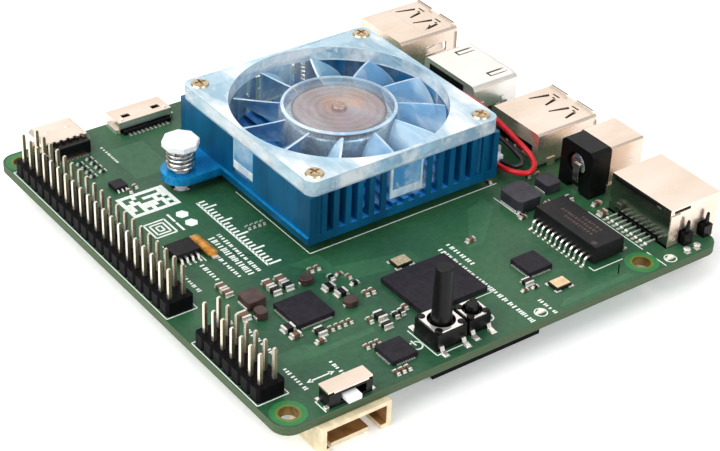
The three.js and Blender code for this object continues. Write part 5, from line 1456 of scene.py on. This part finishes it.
def make_back_sockets():
    s = Span("small_usb_port_shell")
    refinish("small_usb_port_shell", "small_usb_port_can", tin, "tin_shell", bevel=0.06)
    refinish("small_usb_port_insert", "small_usb_port_tongue", jack_black, "black_plastic",
             bevel=0.08)
    trim = Shape()
    for k in range(6):
        x = s.x0 + 0.9 + k * 1.35
        trim.box(x, x + 0.7, s.y0 - 0.45, s.y0 + 0.3, s.z1 - 0.28, s.z1 + 0.02)
    for x in (s.x0 + 2.4, s.x1 - 2.4):
        trim.lathe(x, s.y + 0.6, [(0.55, s.z1 - 0.02), (0.5, s.z1 + 0.05), (0.3, s.z1 + 0.08)], 18)
    for side, edge in ((-1, s.x0), (1, s.x1)):
        for y in (s.y0 + 1.2, s.y1 - 2.2):
            trim.box(*sorted((edge - side * 0.1, edge + side * 0.45)), y - 0.6, y + 0.6, 0.0, 1.4)
    for k in range(12):
        x = s.x + (k - 5.5) * 0.5
        trim.box(x - 0.14, x + 0.14, 82.2, 83.1, 0.0, 0.2)
        trim.box(x - 0.12, x + 0.12, s.y0 + 1.6, s.y1 - 1.4, 1.98, 2.04)
    trim.done("small_usb_port_trim", tin, "tin_shell", bevel=0.04)
    d = Span("display_connector_shell")
    refinish("display_connector_shell", "display_connector_can", tin, "tin_shell", bevel=0.08)
    b = Span("display_connector_body")
    body = Shape().box(b.x0, b.x1, b.y0, d.y0 + 0.2, 0.02, 0.85)
    body.box(b.x0, b.x1, d.y0 + 0.2, b.y1 - 2.9, 0.02, b.z1)
    body.box(b.x0 + 0.8, b.x1 - 0.8, b.y1 - 3.0, b.y1, 0.02, 0.6)
    body.box(b.x0 + 0.8, b.x1 - 0.8, b.y1 - 3.0, b.y1, 1.4, b.z1)
    body.done("display_connector_block", jack_black, "beige_plastic",
              replaces="display_connector_body", bevel=0.06)
    pins = Shape().box(d.x0 + 0.25, d.x1 - 0.25, d.y0 - 0.02, d.y0 + 0.2, 1.0, d.z1 - 0.1)
    for k in range(10):
        x = d.x + (k - 4.5) * 0.86
        pins.box(x - 0.2, x + 0.2, 83.7, 85.0, 0.0, 0.25)
        pins.box(x - 0.14, x + 0.14, 87.2, 89.8, 0.56, 0.66)
    for side, edge in ((-1, d.x0), (1, d.x1)):
        pins.box(*sorted((edge - side * 0.2, edge + side * 0.55)), d.y0 + 0.4, d.y1 - 0.9, 0.0, 0.9)
        pins.lathe(edge - side * 1.0, d.y0 + 1.0, [(0.45, d.z1 - 0.02), (0.4, d.z1 + 0.1)], 16)
    pins.done("display_connector_pins", bright_tin, "tin_shell", bevel=0.04)


# ---------------------------------------------------------------- buttons and the slide switch


def make_buttons():
    for name, side in (("power_button", 6.0), ("reset_button", 4.5)):
        cover = Span(f"{name}_cover")
        body = Span(f"{name}_body")
        x, y, half = cover.x, cover.y, side / 2
        bore = 1.87 if name == "power_button" else 1.30
        base = plate([rounded(x - half, x + half, y - half, y + half, 0.3, 3),
                      circle(x, y, bore + 0.75, 32)], 0.05, body.z1)
        base.lathe(x, y, [(bore + 0.75, 0.05), (bore + 0.75, body.z1 - 1.6)], 32)
        base.done(f"{name}_base", jack_black, "black_plastic", bevel=0.10)
        top = plate([rounded(x - half + 0.15, x + half - 0.15, y - half + 0.15, y + half - 0.15,
                             0.5, 4), circle(x, y, bore + 0.42, 40)], cover.z0, cover.z1)
        top.done(f"{name}_plate", bright_tin, "tin_shell", replaces=f"{name}_cover", bevel=0.07)
        rivets = Shape()
        for sx, sy in CORNERS:
            rivets.lathe(x + sx * (half - 0.75), y + sy * (half - 0.75),
                         [(0.66, cover.z0), (0.66, cover.z1 + 0.06), (0.5, cover.z1 + 0.18)], 16)
        rivets.done(f"{name}_rivets", jack_black, "black_plastic")
        legs = Shape()
        for sx in (-0.36, 0.36):
            for sy in (-1, 1):
                at = x + sx * side
                legs.strip([(at, y + sy * (half - 0.5), 0.9), (at, y + sy * (half + 0.15), 0.85),
                            (at, y + sy * (half + 0.45), 0.25), (at, y + sy * (half + 1.5), 0.14)],
                           (0.4, 0, 0), 0.22)
                pad = sorted((y + sy * (half + 0.35), y + sy * (half + 1.8)))
                legs.box(at - 0.55, at + 0.55, *pad, 0.0, 0.08)
        legs.done(f"{name}_legs", bright_tin, "tin_shell", replaces=f"{name}_body", bevel=0.05)
        p = Span(f"{name}_plunger")
        r = bore - 0.15
        plunger = Shape()
        plunger.lathe(x, y, [
            (bore + 0.5, p.z0), (bore + 0.5, p.z0 + 0.5), (r, p.z0 + 0.55), (r, p.z0 + 1.4),
            (r * 0.97, p.z0 + 2.0), (r * 0.86, p.z1 - 0.12), (r * 0.80, p.z1 - 0.01),
            (0.3, p.z1)], 48)
        plunger.done(f"{name}_cap", jack_black, "button_plastic",
                     body=name.replace("button", "plunger"), replaces=f"{name}_plunger")


def make_boot_switch():
    cover = Span("boot_switch_cover")
    refinish("boot_switch_knob", "boot_switch_slider", white_nylon, "white_plastic",
             body="boot_knob", bevel=0.15, segments=3)
    refinish("boot_switch_body", "boot_switch_base", jack_black, "black_plastic", bevel=0.06)
    outline = [(cover.x0, cover.y0 + 0.3), (cover.x0 + 0.9, cover.y0 + 0.3),
               (cover.x0 + 0.9, cover.y0), (cover.x1 - 0.9, cover.y0),
               (cover.x1 - 0.9, cover.y0 + 0.3), (cover.x1, cover.y0 + 0.3),
               (cover.x1, cover.y1), (cover.x0, cover.y1)]
    lid_plate = Shape().prism(outline, cover.z1 - 0.4, cover.z1)
    lid_plate.box(cover.x0 + 0.3, cover.x1 - 0.3, cover.y1 - 0.14, cover.y1, 1.1, cover.z1 - 0.2)
    lid_plate.done("boot_switch_lid", tin, "tin_shell", replaces="boot_switch_cover", bevel=0.08)
    tails = Shape()
    for x in (cover.x0 - 0.45, cover.x1 - 0.15):
        for y in (cover.y0 + 0.1, cover.y1 - 0.6):
            tails.box(x, x + 0.6, y, y + 0.7, 0.0, 0.4)
    for k in (-2.4, 0, 2.4):
        tails.box(cover.x + k - 0.25, cover.x + k + 0.25, cover.y1 - 0.1, cover.y1 + 0.95,
                  0.0, 0.22)
    tails.done("boot_switch_tails", bright_tin, "tin_shell", bevel=0.05)


# ---------------------------------------------------------------- underside


def make_underside():
    serial = copy_of("serial_connector")
    c = Span("serial_connector")
    # Faces inside the cavity take the darker brown: painted shade.
    for face in serial.bm.faces:
        at = face.calc_center_median()
        inner = c.x0 + 0.5 < at.x < c.x1 - 0.5 and c.z0 + 0.5 < at.z < c.z1 - 0.5
        face.material_index = 1 if inner and at.y > c.y0 + 0.4 and at.y < c.y1 - 0.3 else 0
    serial.done("serial_connector_body", [ivory, ivory_shade], "beige_plastic",
                replaces="serial_connector", bevel=0.12)
    blades = Shape()
    for k in range(4):
        x = c.x + (k - 1.5) * 2.5
        blades.strip([(x, c.y0 + 1.6, c.z0 + 2.9), (x, c.y0 + 3.2, c.z0 + 2.9),
                      (x, c.y1 - 2.0, c.z0 + 2.9)], (0.4, 0, 0), 0.5)
        blades.box(x - 0.35, x + 0.35, c.y1 - 0.1, c.y1 + 1.0, UNDER - 0.25, UNDER)
    blades.done("serial_connector_contacts", pin_gold, "gold_plating", bevel=0.05)
    refinish("storage_socket", "storage_socket_body", black_nylon, "black_plastic", bevel=0.12)
    s = Span("storage_socket")
    fingers = Shape()
    for k in range(34):
        x = s.x0 + 2.0 + k * 0.53
        fingers.box(x - 0.14, x + 0.14, s.y1 - 3.0, s.y1 - 0.25, s.z0 + 1.24, s.z0 + 1.34)
        fingers.box(x - 0.14, x + 0.14, s.y0 - 1.0, s.y0 + 0.1, UNDER - 0.2, UNDER)
    fingers.done("storage_socket_contacts", pin_gold, "gold_plating")
    refinish("storage_standoff", "storage_standoff_nut", gold, "gold_plating", bevel=0.15)
    refinish("card_reader", "card_reader_can", bright_tin, "tin_shell", bevel=0.10)
    c = Span("card_reader")
    tails = Shape()
    for k in range(8):
        x = c.x0 + 1.8 + k * 1.1
        tails.box(x - 0.2, x + 0.2, c.y0 - 0.9, c.y0 + 0.1, UNDER - 0.2, UNDER)
    for x in (c.x0 + 3.0, c.x1 - 3.0):
        tails.box(x - 0.8, x + 0.8, c.y1 - 6.0, c.y1 - 3.2, c.z0 - 0.06, c.z0 + 0.1)
    tails.done("card_reader_tails", tin, "tin_shell", bevel=0.04)
    legs = Shape()
    spots = [(JACK.x0 + 1.6 + 2.0 * (k % 2), JACK.y0 + 16.4 + 0.9 * k) for k in range(3)]
    spots += [(x, y) for x in (81.4, 85.6) for y in (23.2, 29.6)]
    for x, y in spots:
        legs.lathe(x, y, [(0.3, UNDER - 1.0), (0.45, UNDER - 0.4), (0.85, UNDER - 0.02),
                          (0.85, UNDER + 0.02)], 16)
    legs.done("underside_solder", solder, "gold_plating")


# ---------------------------------------------------------------- everything together

make_camera()
make_studio()
make_floor()
make_board()
make_copper()
make_silk()
make_header("long_pin_header", LONG, 20)
make_header("short_pin_header", SHORT, 7)
make_small_parts()
make_inductors()
make_chips()
make_crystals()
make_transformer()
make_heat_sink()
make_fan_frame()
make_rotor()
make_motor()
make_screws()
make_push_pins()
make_leads()
make_usb_ports()
make_video_port()
make_power_jack()
make_network_jack()
make_back_sockets()
make_buttons()
make_boot_switch()
make_underside()

FINISHES = {
    "board_laminate": mask, "gold_plating": gold, "tin_shell": tin, "black_plastic": jack_black,
    "beige_plastic": ivory, "white_plastic": white_nylon, "clear_blue_plastic": clear_frame,
    "blade_plastic": blade_milk, "blue_aluminium": blue_anodised, "chip_plastic": epoxy,
    "ferrite": ferrite, "pad_rubber": pad_grey, "red_wire": red_skin, "black_wire": black_skin,
    "spring_steel": steel, "magnet": epoxy_dark, "winding": copper, "bearing_brass": gold,
    "button_plastic": jack_black,
}
for name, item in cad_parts.items():
    if not item.hide_render:
        finish = item.data.materials[0].name.split(".")[0]
        item.data.materials.clear()
        item.data.materials.append(FINISHES[finish])
